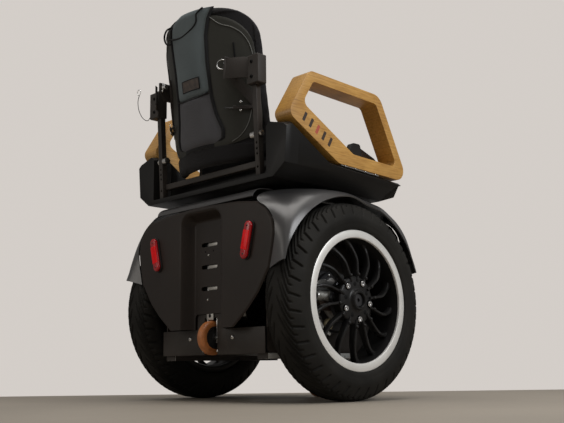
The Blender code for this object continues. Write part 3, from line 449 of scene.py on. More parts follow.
def loft(rings):
    bm = bmesh.new()
    rows = [[bm.verts.new(point) for point in ring] for ring in rings]
    count = len(rows[0])
    for near, far in zip(rows, rows[1:]):
        for i in range(count):
            bm.faces.new((near[i], near[(i + 1) % count], far[(i + 1) % count], far[i]))
    bm.faces.new(rows[0])
    bm.faces.new(rows[-1])
    return to_mesh(bm)


PLANES = {
    "XY": Matrix(((1, 0, 0, 0), (0, 1, 0, 0), (0, 0, 1, 0), (0, 0, 0, 1))),
    "XZ": Matrix(((1, 0, 0, 0), (0, 0, -1, 0), (0, 1, 0, 0), (0, 0, 0, 1))),
    "YZ": Matrix(((0, 0, 1, 0), (1, 0, 0, 0), (0, 1, 0, 0), (0, 0, 0, 1))),
}


def plate(outlines, plane, low, high, bevel=0.0, segments=3):
    """Flat outlines in a plane, thick from low to high along the third axis. Inner outlines are holes."""
    flat = bpy.data.curves.new("outline", "CURVE")
    flat.dimensions = "2D"
    flat.fill_mode = "BOTH"
    flat.extrude = (high - low) / 2
    for outline in outlines:
        spline = flat.splines.new("POLY")
        spline.points.add(len(outline) - 1)
        for point, (u, v) in zip(spline.points, outline):
            point.co = (u, v, 0.0, 1.0)
        spline.use_cyclic_u = True
    guide = bpy.data.objects.new("outline", flat)
    bpy.context.scene.collection.objects.link(guide)
    graph = bpy.context.evaluated_depsgraph_get()
    mesh = bpy.data.meshes.new_from_object(guide.evaluated_get(graph))
    bpy.data.objects.remove(guide)
    middle = Vector((0, 0, 0))
    middle[{"XY": 2, "XZ": 1, "YZ": 0}[plane]] = (low + high) / 2
    mesh.transform(Matrix.Translation(middle) @ PLANES[plane])
    bm = bmesh.new()
    bm.from_mesh(mesh)
    bmesh.ops.remove_doubles(bm, verts=bm.verts, dist=0.00002)
    bmesh.ops.dissolve_limit(bm, angle_limit=radians(0.5), verts=bm.verts, edges=bm.edges)
    mesh = to_mesh(bm)
    return shade(bevelled(mesh, bevel, segments) if bevel else mesh, 35)


def arc(centre, radius, start, end, count):
    u, v = centre
    angles = [radians(start + (end - start) * i / (count - 1)) for i in range(count)]
    return [(u + radius * cos(a), v + radius * sin(a)) for a in angles]


def rounded(corners, radius, count=8):
    """A polygon with each corner turned into an arc."""
    radii = radius if isinstance(radius, (list, tuple)) else [radius] * len(corners)
    points = []
    for i, corner in enumerate(corners):
        here = Vector(corner)
        before = (Vector(corners[i - 1]) - here).normalized()
        after = (Vector(corners[(i + 1) % len(corners)]) - here).normalized()
        half = before.angle(after) / 2
        centre = here + (before + after).normalized() * (radii[i] / sin(half))
        start, end = here + before * (radii[i] / tan(half)), here + after * (radii[i] / tan(half))
        a0, a1 = atan2(start.y - centre.y, start.x - centre.x), atan2(end.y - centre.y, end.x - centre.x)
        a1 += 2 * pi if a0 - a1 > pi else (-2 * pi if a1 - a0 > pi else 0)
        points += [(centre.x + radii[i] * cos(a0 + (a1 - a0) * k / (count - 1)),
                    centre.y + radii[i] * sin(a0 + (a1 - a0) * k / (count - 1))) for k in range(count)]
    return points


def stadium(centre, length, width, lean, count=16):
    half = (length - width) / 2
    turn = Matrix.Rotation(-lean, 2)
    ends = arc((0, half), width / 2, 0, 180, count) + arc((0, -half), width / 2, 180, 360, count)
    return [(centre[0] + (turn @ Vector(p))[0], centre[1] + (turn @ Vector(p))[1]) for p in ends]


def polish(node, material, bevel=0.0, segments=3, name=None):
    """A CAD node's own shape with its edges rounded, in place of the node."""
    source = frame["nodes"][node]
    bm = bmesh.new()
    bm.from_mesh(source.data)
    bmesh.ops.remove_doubles(bm, verts=bm.verts, dist=0.00003)
    bmesh.ops.dissolve_limit(bm, angle_limit=radians(1.0), verts=bm.verts, edges=bm.edges)
    bmesh.ops.translate(bm, vec=(0, -AXLE_Y, 0), verts=bm.verts)
    mesh = to_mesh(bm)
    if bevel:
        mesh = bevelled(mesh, bevel, segments)
    return put(name or node + "_finished", shade(mesh), material, source["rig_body"], [node])


def paint(material, *nodes):
    """A better material on CAD nodes whose shape stays."""
    for node in nodes:
        mesh = frame["nodes"][node].data
        mesh.materials.clear()
        mesh.materials.append(material)


def screw(name, place, outward, radius, body, material=None, socket=True):
    """A button-head screw with a round socket."""
    outward = Vector(outward).normalized()
    turn = Vector((1, 0, 0)).rotation_difference(outward).to_matrix().to_4x4()
    well = radius * 0.42
    profile = [(0.0, radius * 0.15), (well, radius * 0.15), (well, radius * 0.58)] if socket else [
        (0.0, radius * 0.62)]
    head = lathe(profile + [(radius * 0.62, radius * 0.55), (radius * 0.88, radius * 0.34), (radius, radius * 0.05),
                            (radius, -radius * 0.1), (0.0, -radius * 0.1)], (0, 0, 0), 24)
    head.transform(Matrix.Translation(place) @ turn)
    return put(name, shade(head, 40), material or STEEL, body)


# ---------------------------------------------------------------- camera, stage, lights
VIEW_FROM = Vector((1.7673, -1.6505 + AXLE_Y, 0.0872))
HEADING, PITCH, ROLL = radians(45.964), radians(10.201), radians(-0.732)


def camera():
    forward = Vector((-sin(HEADING) * cos(PITCH), cos(HEADING) * cos(PITCH), sin(PITCH)))
    level = Vector((cos(HEADING), sin(HEADING), 0))
    top = level.cross(forward)
    right = level * cos(ROLL) + top * sin(ROLL)
    top = top * cos(ROLL) - level * sin(ROLL)
    eye = bpy.data.objects.new("camera", bpy.data.cameras.new("camera"))
    eye.data.lens = 55.09
    eye.data.sensor_width = 36.0
    eye.data.clip_start = 0.02
    turn = Matrix((right, top, -forward)).transposed().to_4x4()
    eye.matrix_world = Matrix.Translation(VIEW_FROM) @ turn
    bpy.context.scene.collection.objects.link(eye)
    bpy.context.scene.camera = eye


def area_light(name, place, target, size, power, colour, size_y=None):
    lamp = bpy.data.lights.new(name, "AREA")
    lamp.shape = "RECTANGLE"
    lamp.size, lamp.size_y = size, size_y or size
    lamp.energy = power
    lamp.color = colour
    holder = bpy.data.objects.new(name, lamp)
    place = Vector(place)
    turn = (Vector(target) - place).to_track_quat("-Z", "Y").to_matrix().to_4x4()
    holder.matrix_world = Matrix.Translation(place) @ turn
    bpy.context.scene.collection.objects.link(holder)


def stage():
    """A pale floor that ends where the photo room's wall begins, and a pale backdrop all round."""
    ahead = Vector((-sin(HEADING), cos(HEADING), 0))
    side = Vector((cos(HEADING), sin(HEADING), 0))
    start = Vector((VIEW_FROM.x, VIEW_FROM.y, 0))
    far, near, half = 2.98, -3.0, 4.0
    bpy.context.scene.view_settings.view_transform = "Standard"
    bm = bmesh.new()
    corners = [start + ahead * a + side * b for a, b in ((near, -half), (near, half), (far, half), (far, -half))]
    bm.faces.new([bm.verts.new(p) for p in corners])
    floor = bpy.data.objects.new("floor", to_mesh(bm))
    bpy.context.scene.collection.objects.link(floor)
    floor.data.materials.append(Surface("floor_paint", (0.330, 0.290, 0.240), 0.60, tone=0.06, tone_scale=1.6,
                                        bump=0.05, bump_scale=200.0).material)
    world = bpy.data.worlds.new("pale_room")
    world.use_nodes = True
    tree = world.node_tree
    back = tree.nodes["Background"]
    back.inputs["Color"].default_value = (0.655, 0.615, 0.580, 1.0)
    back.inputs["Strength"].default_value = 1.0
    fill = tree.nodes.new("ShaderNodeBackground")
    fill.inputs["Color"].default_value = (0.64, 0.62, 0.60, 1.0)
    fill.inputs["Strength"].default_value = 0.34
    seen, choice = tree.nodes.new("ShaderNodeLightPath"), tree.nodes.new("ShaderNodeMixShader")
    tree.links.new(seen.outputs["Is Camera Ray"], choice.inputs["Fac"])
    tree.links.new(fill.outputs["Background"], choice.inputs[1])
    tree.links.new(back.outputs["Background"], choice.inputs[2])
    tree.links.new(choice.outputs["Shader"], tree.nodes["World Output"].inputs["Surface"])
    bpy.context.scene.world = world
    area_light("ceiling", (0.4, -0.3, 3.0), (0, 0, 0.5), 2.2, 50, (1.0, 0.97, 0.93))
    area_light("right_window", (3.0, 0.4, 1.9), (0.1, -0.1, 0.5), 1.6, 46, (0.96, 0.98, 1.0), 1.2)
    area_light("left_bounce", (-1.6, -3.2, 1.3), (-0.1, -0.2, 0.4), 1.8, 12, (1.0, 0.95, 0.88), 1.2)


camera()
stage()


# ---------------------------------------------------------------- wheels
WHEEL_X = AXLE.x
CENTRE = Vector((WHEEL_X, 0, AXLE_Z))
TREAD_HALF = 0.078                 # across the tread from its middle line
PITCHES = 38                       # grooves round the tyre, each side


def smoothstep(value, low, high):
    t = np.clip((value - low) / (high - low), 0.0, 1.0)
    return t * t * (3 - 2 * t)


def groove(across, round_angle, start, end, offset, width, depth, lead=0.30):
    """Depth of a set of swept grooves: nearly along the tyre by its middle, then across the shoulder."""
    kink = 0.040
    line = np.where(across < kink, lead * (across - 0.008) / (kink - 0.008), lead + (across - kink) * 1.3)
    slope = np.where(across < kink, lead / (kink - 0.008), 1.3) * 0.245
    pitch = 2 * pi / PITCHES
    phase = (round_angle - line) / pitch + offset
    away = np.abs(phase - np.round(phase)) * pitch * 0.245 / np.sqrt(1 + slope ** 2)
    wide = width * (0.55 + 0.45 * smoothstep(across, start, start + 0.02))
    across_ends = smoothstep(across, start, start + 0.004) * (1 - smoothstep(across, end - 0.008, end))
    return depth * (1 - smoothstep(away, wide * 0.5 - 0.0008, wide * 0.5 + 0.0010)) * across_ends


def tyre_mesh():
    """The tyre as one skin, its tread cut with mirrored sets of swept grooves."""
    half = smooth_path([(TYRE_R, 0, 0), (0.2495, 0.0220, 0), (0.2465, 0.0335, 0), (0.2424, 0.0392, 0),
                        (0.2353, 0.0448, 0), (0.2223, 0.0515, 0), (0.2080, 0.0560, 0), (0.1960, 0.0550, 0),
                        (0.1850, 0.0532, 0), (0.1789, 0.0500, 0)], 16)
    points = np.array([(p.x, p.y) for p in half])
    along = np.concatenate([[0], np.cumsum(np.hypot(*np.diff(points, axis=0).T))])
    stations = np.concatenate([np.arange(0, TREAD_HALF, 0.0022), np.linspace(TREAD_HALF, along[-1], 12)])
    radius = np.interp(stations, along, points[:, 0])
    side = np.interp(stations, along, points[:, 1])
    s = np.concatenate([-stations[:0:-1], stations])
    r = np.concatenate([radius[:0:-1], radius])
    x = np.concatenate([-side[:0:-1], side])
    steps = 960
    turn = np.arange(steps) * 2 * pi / steps
    S, A = np.meshgrid(s, turn, indexing="ij")
    across = np.abs(S)
    swing = A + np.where(S < 0, 0.5 * 2 * pi / PITCHES, 0.0)
    cuts = np.maximum.reduce([
        groove(across, swing, 0.006, 0.073, 0.0, 0.0054, 0.0050),
        groove(across, swing, 0.020, 0.052, 0.5, 0.0044, 0.0042)])
    cuts -= 0.0008 * (1 - smoothstep(np.abs(across - 0.0900), 0.0, 0.0014))
    cuts -= 0.0005 * (1 - smoothstep(np.abs(across - 0.1000), 0.0, 0.0012))
    normal_r = np.gradient(x, s)
    normal_x = -np.gradient(r, s)
    R = r[:, None] - cuts * normal_r[:, None]
    X = x[:, None] - cuts * normal_x[:, None]
    R = np.concatenate([R, np.full((2, steps), 0.1788)])
    X = np.concatenate([X, np.array([[0.0445], [-0.0445]]) * np.ones((1, steps))])
    count = len(R)
    verts = np.stack([X + WHEEL_X, R * np.cos(A[0])[None, :], R * np.sin(A[0])[None, :] + AXLE_Z], 2)
    index = np.arange(count * steps).reshape(count, steps)
    near, far = index, np.roll(index, -1, 0)
    quads = np.stack([near, np.roll(near, -1, 1), np.roll(far, -1, 1), far], 2).reshape(-1, 4)
    mesh = bpy.data.meshes.new("tyre")
    mesh.from_pydata(verts.reshape(-1, 3).tolist(), [], quads.tolist())
    mesh.update()
    bm = bmesh.new()
    bm.from_mesh(mesh)
    bmesh.ops.recalc_face_normals(bm, faces=bm.faces)
    bm.to_mesh(mesh)
    bm.free()
    mesh.shade_smooth()
    return mesh


def round_place(radius, angle, x):
    return Vector((WHEEL_X + x, radius * cos(angle), AXLE_Z + radius * sin(angle)))


def spoke_mesh():
    """Slender spokes: straight out of the hub, then bent round and back to meet the barrel."""
    parts = []
    stations = [i / 18 for i in range(19)]
    for i in range(14):
        start = 2 * pi * i / 14 + radians(8)
        rings = []
        for t in stations:
            radius = 0.050 + 0.1090 * t
            bend = max(0.0, (radius - 0.096) / 0.060)
            angle = start + radians(10.5) * bend ** 1.6
            x = 0.0305 - 0.0030 * t - 0.0130 * bend ** 1.4
            flare = max(0.0, (radius - 0.128) / 0.030)
            half = 0.0046 - 0.0006 * sin(pi * min(1, t * 1.6)) + 0.0042 * flare ** 2
            deep = 0.0125 - 0.0040 * t + 0.0030 * flare ** 2
            middle = round_place(radius, angle, x)
            outward = Vector((0, cos(angle), sin(angle)))
            sideways = Vector((0, -sin(angle), cos(angle))) + outward * (-0.55 * bend)
            sideways.normalize()
            ring = []
            for k in range(16):
                a = 2 * pi * k / 16
                u = abs(cos(a)) ** 0.62 * (1 if cos(a) > 0 else -1)
                v = abs(sin(a)) ** 0.62 * (1 if sin(a) > 0 else -1)
                ring.append(middle + sideways * (half * u) + Vector((deep * v, 0, 0)))
            rings.append(ring)
        parts.append(loft(rings))
        knob = lathe([(0.0, 0.0050), (0.0022, 0.0047), (0.0040, 0.0032), (0.0048, 0.0), (0.0, -0.004)],
                     (0, 0, 0), 16)
        knob.transform(Matrix.Translation(round_place(0.0665, start, 0.0415)))
        parts.append(knob)
    return together(parts)


def cut_from(mesh, cutter):
    tool = bpy.data.objects.new("cutter", cutter)
    bpy.context.scene.collection.objects.link(tool)
    made = refine(mesh, [("BOOLEAN", {"operation": "DIFFERENCE", "solver": "EXACT", "object": tool})])
    bpy.data.objects.remove(tool)
    return made


def wheels():
    tyre = tyre_mesh()
    lip = lathe([(0.1574, 0.0452), (0.1580, 0.0482), (0.1592, 0.0494), (0.1612, 0.0498), (0.1750, 0.0492),
                 (0.1775, 0.0482), (0.1786, 0.0462), (0.1786, 0.0440), (0.1574, 0.0435)], CENTRE, 160)
    inner_lip = lathe([(0.1574, -0.0432), (0.1590, -0.0480), (0.1612, -0.0488), (0.1742, -0.0482),
                       (0.1778, -0.0452), (0.1778, -0.0435), (0.1574, -0.0420)], CENTRE, 160)
    barrel = lathe([(0.1675, 0.0432), (0.1572, 0.0432), (0.1566, 0.0390), (0.1548, 0.0330), (0.1540, 0.0190),
                    (0.1552, -0.0370), (0.1572, -0.0412), (0.1675, -0.0412)], CENTRE, 128)
    hub = lathe([(0.0180, 0.0130), (0.0180, 0.0495), (0.0190, 0.0508), (0.0232, 0.0508), (0.0244, 0.0495),
                 (0.0250, 0.0435), (0.0275, 0.0408), (0.0330, 0.0398), (0.0560, 0.0382), (0.0600, 0.0362),
                 (0.0618, 0.0330), (0.0600, 0.0150), (0.0560, 0.0130)], CENTRE, 96)
    wells, bolts, pockets = [], [], []
    for i in range(5):
        angle = radians(63 + 72 * i)
        wells.append(rod(round_place(0.048, angle, 0.0315), round_place(0.048, angle, 0.06), 0.0098, 28))
        bolt = lathe([(0.0, 0.0085), (0.0030, 0.0085), (0.0034, 0.0110), (0.0062, 0.0108), (0.0072, 0.0098),
                      (0.0075, 0.0070), (0.0075, -0.0030), (0.0, -0.0030)], (0, 0, 0), 28)
        bolt.transform(Matrix.Translation(round_place(0.048, angle, 0.0325)))
        bolts.append(bolt)
        # Shallow discs that later get the near-black material: painted shade for the hub's recesses between the
        # bolts.
        pocket = lathe([(0.0, 0.0010), (0.0042, 0.0010), (0.0062, 0.0), (0.0, -0.0005)], (0, 0, 0), 20)
        pocket.transform(Matrix.Translation(round_place(0.041, angle + radians(36), 0.0390)))
        pockets.append(pocket)
    hub = cut_from(hub, together(wells))
    black = together([barrel, hub, inner_lip, spoke_mesh()])
    shaft = lathe([(0.0, 0.0390), (0.0040, 0.0390), (0.0050, 0.0440), (0.0150, 0.0440), (0.0168, 0.0425),
                   (0.0172, 0.0128), (0.0560, 0.0126), (0.0600, 0.0110), (0.0600, 0.0000), (0.0560, -0.0014),
                   (0.0300, -0.0030), (0.0300, -0.0170), (0.0, -0.0170)], CENTRE, 64)
    shade(black, 38)
    for mesh in (lip, shaft):
        shade(mesh, 28)
    fixings = shade(together(bolts), 30)
    for side, word in SIDES:
        body = word + "_wheel"
        put(word + "_tyre_tread", mirrored(tyre, side), RUBBER, body, [word + "_tyre"])
        put(word + "_rim_casting", mirrored(black, side), CAST, body, [word + "_rim"])
        put(word + "_rim_lip", mirrored(lip, side), LIP, body, ())
        put(word + "_drive_flange_turned", mirrored(shaft, side), DRIVE, body, [word + "_drive_flange"])
        put(word + "_wheel_bolts", mirrored(fixings, side), CHROME, body, ())
        # Painted shade: near-black discs standing in for the hub's recesses.
        put(word + "_hub_pocket_shade", mirrored(shade(together(pockets)), side), SHADE_PAINT, body)
        valve = round_place(0.1500, radians(200), 0.021), round_place(0.1395, radians(200), 0.039)
        put(word + "_valve", mirrored(rod(valve[0], valve[1], 0.0034, 16, 0.0028, 0.0006), side), NYLON, body)


DRIVE = Surface("dark_turned_steel", (0.10, 0.10, 0.105), 0.35, metallic=0.9, tone=0.2, spread=0.1).material
wheels()


# ---------------------------------------------------------------- gearboxes and what shows through the spokes
def ribbed(low, high, radius, ribs, rise, centre, steps_per=6, inner=0.0):
    """A drum whose wall carries ribs along its axis."""
    rings = []
    count = ribs * steps_per
    for x, grow in ((low, 0.0), (low + 0.0012, 1.0), (high - 0.0012, 1.0), (high, 0.0)):
        ring = []
        for i in range(count):
            a = 2 * pi * i / count
            wave = 1.0 if (i % steps_per) < steps_per / 2 else 0.0
            r = radius + rise * wave * grow
            ring.append(Vector((x, centre[1] + r * cos(a), centre[2] + r * sin(a))))
        rings.append(ring)
    return loft(rings)


def gearboxes():
    axle = (0, 0, AXLE_Z)
    body = lathe([(0.0, 0.2050), (0.0820, 0.2085), (0.0842, 0.2105), (0.0842, 0.2165), (0.0820, 0.2180),
                  (0.0500, 0.2200), (0.0, 0.2200)], axle, 96)
    cap = lathe([(0.0, 0.2690), (0.0230, 0.2690), (0.0260, 0.2660), (0.0400, 0.2632), (0.0480, 0.2600),
                 (0.0500, 0.2560), (0.0, 0.2560)], axle, 96)
    ring = lathe([(0.0500, 0.2545), (0.0700, 0.2600), (0.0740, 0.2600), (0.0790, 0.2555), (0.0798, 0.2500),
                  (0.0798, 0.2440), (0.0780, 0.2425), (0.0500, 0.2425)], axle, 96)
    silver = ribbed(0.2310, 0.2424, 0.0745, 54, 0.0022, axle)
    winding = ribbed(0.2200, 0.2310, 0.0700, 72, 0.0014, axle, 4)
    ribs = [(0.0115 - 0.0014 * (i % 2), 0.0240 - 0.0024 * (i // 2) - 0.0004 * (i % 2)) for i in range(42)]
    coupling = lathe([(0.0, 0.0260)] + [(0.0085, 0.0260)] + ribs + [(0.0085, -0.0280), (0.0, -0.0280)],
                     (0.2680, -0.0580, AXLE_Z + 0.0125), 36, "Y")
    brake = lathe([(0.0, 0.0250), (0.0110, 0.0250), (0.0120, 0.0240), (0.0120, -0.0240), (0.0110, -0.0250),
                   (0.0, -0.0250)], (0.2660, -0.0560, AXLE_Z - 0.0125), 36, "Y")
    disc = lathe([(0.0, 0.0012), (0.0330, 0.0012), (0.0345, 0.0), (0.0345, -0.0012), (0.0, -0.0012)],
                 (0.2622, -0.0500, AXLE_Z + 0.0220), 64)
    boss = lathe([(0.0050, 0.0040), (0.0120, 0.0040), (0.0140, 0.0020), (0.0140, -0.0040), (0.0050, -0.0040)],
                 (0.2680, -0.0420, AXLE_Z - 0.0580), 40)
    strap = plate([arc((0, AXLE_Z), 0.0960, 202, 246, 20) + arc((0, AXLE_Z), 0.0880, 246, 202, 20)], "YZ",
                  0.2670, 0.2700, 0.0008)
    arm = plate([rounded([(-0.058, 0.045 + AXLE_Z), (-0.020, 0.062 + AXLE_Z), (-0.006, 0.052 + AXLE_Z),
                          (-0.030, 0.030 + AXLE_Z)], 0.006, 5)], "YZ", 0.2600, 0.2630, 0.0008)
    for side, word in SIDES:
        put(word + "_gearbox_body", mirrored(shade(together([body, ring]), 28), side), DRIVE, "chassis",
            [word + "_gearbox"])
        put(word + "_gearbox_cap", mirrored(shade(cap, 28), side), ALUMINIUM, "chassis")
        put(word + "_gearbox_fins", mirrored(shade(silver, 30), side), ALUMINIUM, "chassis")
        put(word + "_gearbox_band", mirrored(shade(winding, 30), side), BROWN, "chassis")
        put(word + "_gearbox_strap", mirrored(arm, side), STEEL, "chassis")
        for part, mesh, material in (("coupling", coupling, ZINC), ("brake", brake, BROWN), ("disc", disc, STEEL),
                                     ("boss", boss, GOLD), ("cable_guard", strap, ZINC)):
            put(f"{word}_gearbox_{part}", mirrored(shade(mesh, 30), side), material, "chassis")
        for i in range(8):
            a = radians(22.5 + 45 * i)
            place = Vector((side * 0.2602, 0.0725 * cos(a), AXLE_Z + 0.0725 * sin(a)))
            screw(f"{word}_gearbox_screw_{i}", place, (side, 0, 0), 0.0038, "chassis")


gearboxes()


# ---------------------------------------------------------------- body shells
SHELL_BORDER = [(0.130, 0.186), (0.182, 0.226), (0.222, 0.265), (0.262, 0.322), (0.276, 0.377),
                (0.281, 0.410), (0.276, 0.440), (0.255, 0.469), (0.222, 0.491), (0.148, 0.501), (0.0, 0.508)]
SIDE_Z = np.array([z for x, z in SHELL_BORDER[:8]])
SIDE_X = np.array([x for x, z in SHELL_BORDER[:8]])
TOP_X = np.array([x for x, z in SHELL_BORDER[7:]][::-1])
TOP_Z = np.array([z for x, z in SHELL_BORDER[7:]][::-1])
RECESS = 0.031
SLOT_HEIGHTS = (0.4095, 0.3500, 0.2925)


def soft_ramp(t, ease=0.30):
    """0 to 1 with rounded corners at both ends."""
    t = np.clip(t, 0.0, 1.0)
    area = 1 - ease
    rise = np.where(t < ease, t * t / (2 * ease), t - ease / 2)
    return np.where(t > 1 - ease, area - (1 - t) ** 2 / (2 * ease), rise) / area


def recess_depth(x, z):
    """How far the shell is pressed in at (x, z): an arched channel with sloping walls."""
    half, top, corner, wall = 0.0865, 0.4985, 0.036, 0.0275
    qx, qz = np.abs(x) - (half - corner), z - (top - corner)
    outside = np.hypot(np.maximum(qx, 0), np.maximum(qz, 0)) + np.minimum(np.maximum(qx, qz), 0) - corner
    return RECESS * soft_ramp(-outside / wall)


def shell_mesh(way):
    columns, side_rows, top_rows = 150, 110, 26
    u = np.linspace(-1, 1, columns + 1)
    rows = []
    for z in np.linspace(SIDE_Z[0], SIDE_Z[-1], side_rows):
        half = np.interp(z, SIDE_Z, SIDE_X)
        rows.append((u * half, np.full_like(u, z), (1 - np.abs(u)) * half))
    for v in np.linspace(0, 1, top_rows + 1)[1:]:
        x = u * SIDE_X[-1]
        top = np.interp(np.abs(x), TOP_X, TOP_Z)
        z = SIDE_Z[-1] + v * (top - SIDE_Z[-1])
        rows.append((x, z, np.minimum((1 - np.abs(u)) * SIDE_X[-1], (top - z) + 0.0)))
    points = []
    for x, z, edge in rows:
        rolled = 0.0030 * (1 - np.clip(edge / 0.0070, 0, 1)) ** 2
        y = way * (SHELL_Y - recess_depth(x, z) - rolled)
        points.append([Vector((a, b, c)) for a, b, c in zip(x, y, z)])
    skin = sheet_of(points, 0.0036, -1.0 if way < 0 else 1.0)
    bm = bmesh.new()
    bm.from_mesh(skin)
    bmesh.ops.remove_doubles(bm, verts=bm.verts, dist=0.00002)
    mesh = to_mesh(bm)
    low_y, high_y = sorted((way * 0.2290, way * 0.2030))
    gaps = [plate([rounded([(-0.0585, 0.150), (0.0585, 0.150), (0.0585, 0.2262), (-0.0585, 0.2262)], 0.011, 8)],
                  "XZ", low_y, high_y)]
    if way < 0:
        gaps += [plate([stadium((-0.0003, z), 0.0655, 0.0110, pi / 2, 8)], "XZ", low_y, high_y)
                 for z in SLOT_HEIGHTS]
    return shade(cut_from(mesh, together(gaps)), 40)


def shells():
    for name, way in (("rear", -1), ("front", 1)):
        put(name + "_shell_moulding", shell_mesh(way), SHELL, "chassis", [name + "_shell"])
    floor = -(SHELL_Y - RECESS)
    for i, z in enumerate(SLOT_HEIGHTS):
        bar = cube((-0.010, floor + 0.0045, z - 0.0046), (0.0330, floor + 0.0100, z + 0.0046), 0.0012)
        put(f"rear_slot_bar_{i}", bar, ALUMINIUM, "chassis")
        # Near-black plate behind each slot: painted shade for the dark space inside the slot.
        back = cube((-0.0360, floor + 0.0100, z - 0.0080), (0.0360, floor + 0.0110, z + 0.0080), 0.0003, 1)
        put(f"rear_slot_painted_shade_{i}", back, SHADE_PAINT, "chassis")
    for i, (x, z) in enumerate(((-0.004, 0.381), (-0.007, 0.263))):
        screw(f"rear_floor_screw_{i}", (x, floor - 0.0002, z), (0, -1, 0), 0.0030, "chassis")
    for i, x in enumerate((-0.016, 0.016)):
        # Thin near-black discs: painted shade for two holes in the channel floor.
        hole = lathe([(0.0, 0.0004), (0.0022, 0.0004), (0.0026, 0.0), (0.0, -0.0006)], (0, 0, 0), 20)
        hole.transform(Matrix.Translation((x, floor, 0.391)) @ Matrix.Rotation(-pi / 2, 4, "Z"))
        put(f"rear_floor_hole_shade_{i}", shade(hole), SHADE_PAINT, "chassis")
    for i, (x, z, r) in enumerate(((-0.0864, 0.1627, 0.0062), (0.0864, 0.1627, 0.0062), (-0.031, 0.130, 0.0034),
                                   (0.026, 0.130, 0.0034))):
        for name, way in (("rear", -1), ("front", 1)):
            screw(f"{name}_plate_screw_{i}", (x, way * 0.2059, z), (0, way, 0), r, "chassis")


def fender_mesh():
    """The guard over a wheel: a taut skin from the shells' borders out to the wheel arch."""
    arch_r, arch_x, seam = 0.2665, 0.3270, 0.0026
    border = []
    for i in range(3, 9):
        run = Vector(SHELL_BORDER[i + 1]) - Vector(SHELL_BORDER[i - 1])
        away = Vector((run.y, -run.x)).normalized() * seam
        border.append((SHELL_BORDER[i][0] + away.x, -SHELL_Y + 0.0010, SHELL_BORDER[i][1] + away.y))
    border += [(0.2130, -0.2200, 0.5130), (0.2060, -0.1500, 0.5330), (0.2020, 0.0, 0.5300)]
    angles = [19, 26, 33, 41, 50, 58, 67, 79, 90]
    fullness = [0.3, 0.5, 0.7, 0.9, 1.0, 1.1, 1.1, 1.0, 1.0]
    across = [(0.0, 0.0), (0.20, 0.0056), (0.42, 0.0100), (0.64, 0.0122), (0.84, 0.0094), (1.0, 0.0)]
    rows = []
    for place, angle, full in zip(border, angles, fullness):
        a = radians(angle)
        start = Vector(place)
        edge = Vector((arch_x, -arch_r * cos(a), AXLE_Z + arch_r * sin(a)))
        outward = Vector((0.30 * cos(a), -cos(a), sin(a))).normalized()
        rows.append(smooth_path([start.lerp(edge, t) + outward * (rise * full) for t, rise in across], 7))
    for row, drop in reversed(list(zip(rows[:-1], [0, 0, 0, 0, 0, 0.001, 0.003, 0.009]))):
        rows.append([Vector((p.x, -p.y, p.z - drop)) for p in row])
    fine = [smooth_path([row[i] for row in rows], 7) for i in range(len(rows[0]))]
    return shade(sheet_of(fine, 0.0030, 1.0), 40)


def top_mesh():
    """The cover over the deck: a raised bead along its rear and front edges, lower between them."""
    line = smooth_path([(y, z, 0) for y, z in (
        (-0.2375, 0.5080), (-0.2315, 0.5195), (-0.2190, 0.5280), (-0.2020, 0.5322), (-0.1690, 0.5333),
        (-0.1580, 0.5290), (-0.1480, 0.5222), (-0.1000, 0.5215), (0.1000, 0.5215), (0.1480, 0.5222),
        (0.1600, 0.5270), (0.1720, 0.5300), (0.2020, 0.5290), (0.2190, 0.5250), (0.2315, 0.5175),
        (0.2375, 0.5080))], 6)
    rows = [[Vector((-0.1990 + 0.3980 * k / 24, p.x, p.y)) for k in range(25)] for p in line]
    return shade(sheet_of(rows, 0.0025, -1.0), 40)


def lamps():
    lean, place = radians(14), (0.190, 0.397)
    face = -SHELL_Y - 0.0002
    bezel = plate([stadium(place, 0.1000, 0.0300, lean, 20)], "XZ", face - 0.0032, face, 0.0012, 3)
    lens = plate([stadium(place, 0.0955, 0.0255, lean, 20)], "XZ", face - 0.0128, face - 0.0020, 0.0056, 6)
    turn = Matrix.Rotation(-lean, 2)
    corners = [turn @ Vector(c) for c in ((-0.0112, -0.0250), (0.0112, -0.0250), (0.0112, 0.0250), (-0.0112, 0.0250))]
    glow = plate([rounded([(place[0] + c.x, place[1] + c.y) for c in corners], 0.0030, 6)], "XZ", face - 0.0133,
                 face - 0.0100, 0.0030, 4)
    for side, word in SIDES:
        put(word + "_tail_lamp_bezel", mirrored(bezel, side), NYLON, "chassis", [word + "_tail_lamp"])
        put(word + "_tail_lamp_lens", mirrored(lens, side), LENS_DARK, "chassis", ())
        put(word + "_tail_lamp_middle", mirrored(glow, side), LENS, "chassis", ())
        for i, along in enumerate((-0.0355, 0.0355)):
            off = turn @ Vector((0, along))
            screw(f"{word}_tail_lamp_screw_{i}", (side * (place[0] + off.x), face - 0.0126, place[1] + off.y),
                  (0, -1, 0), 0.0026, "chassis", GLOSS)


shells()
guard = fender_mesh()
for side, word in SIDES:
    put(word + "_fender_skin", mirrored(guard, side), GREY, "chassis", [word + "_fender"])
put("top_cover_dome", top_mesh(), GREY, "chassis", ["top_cover"])
lamps()


# ---------------------------------------------------------------- chassis metal and supports
for node in ("rear_end_plate", "front_end_plate", "left_side_plate", "right_side_plate"):
    polish(node, BLACK, 0.0006, 2)
paint(ALUMINIUM, "chassis_deck", "motor_controller")
paint(BLACK, "seat_pedestal", "belly_plate")
for side, word in SIDES:
    strip = cube((0.2058, -0.1925, 0.1074), (0.2068, 0.1925, 0.1206), 0.0004)
    put(word + "_belly_rail_face", mirrored(strip, side), ZINC, "chassis", ())
    cap = cube((0.1676, -0.1936, 0.1068), (0.2068, -0.1926, 0.1212), 0.0004)
    put(word + "_belly_rail_end", mirrored(cap, side), ZINC, "chassis", ())
paint(NYLON, "battery_pack", "balance_sensor")
paint(STEEL, "left_drive_motor", "right_drive_motor", "left_post_knob", "right_post_knob")
polish("seat_frame", STEEL, 0.0008, 2)
polish("footrest_frame", BLACK, 0, 2)
polish("footplate", ALUMINIUM, 0.0012, 3)


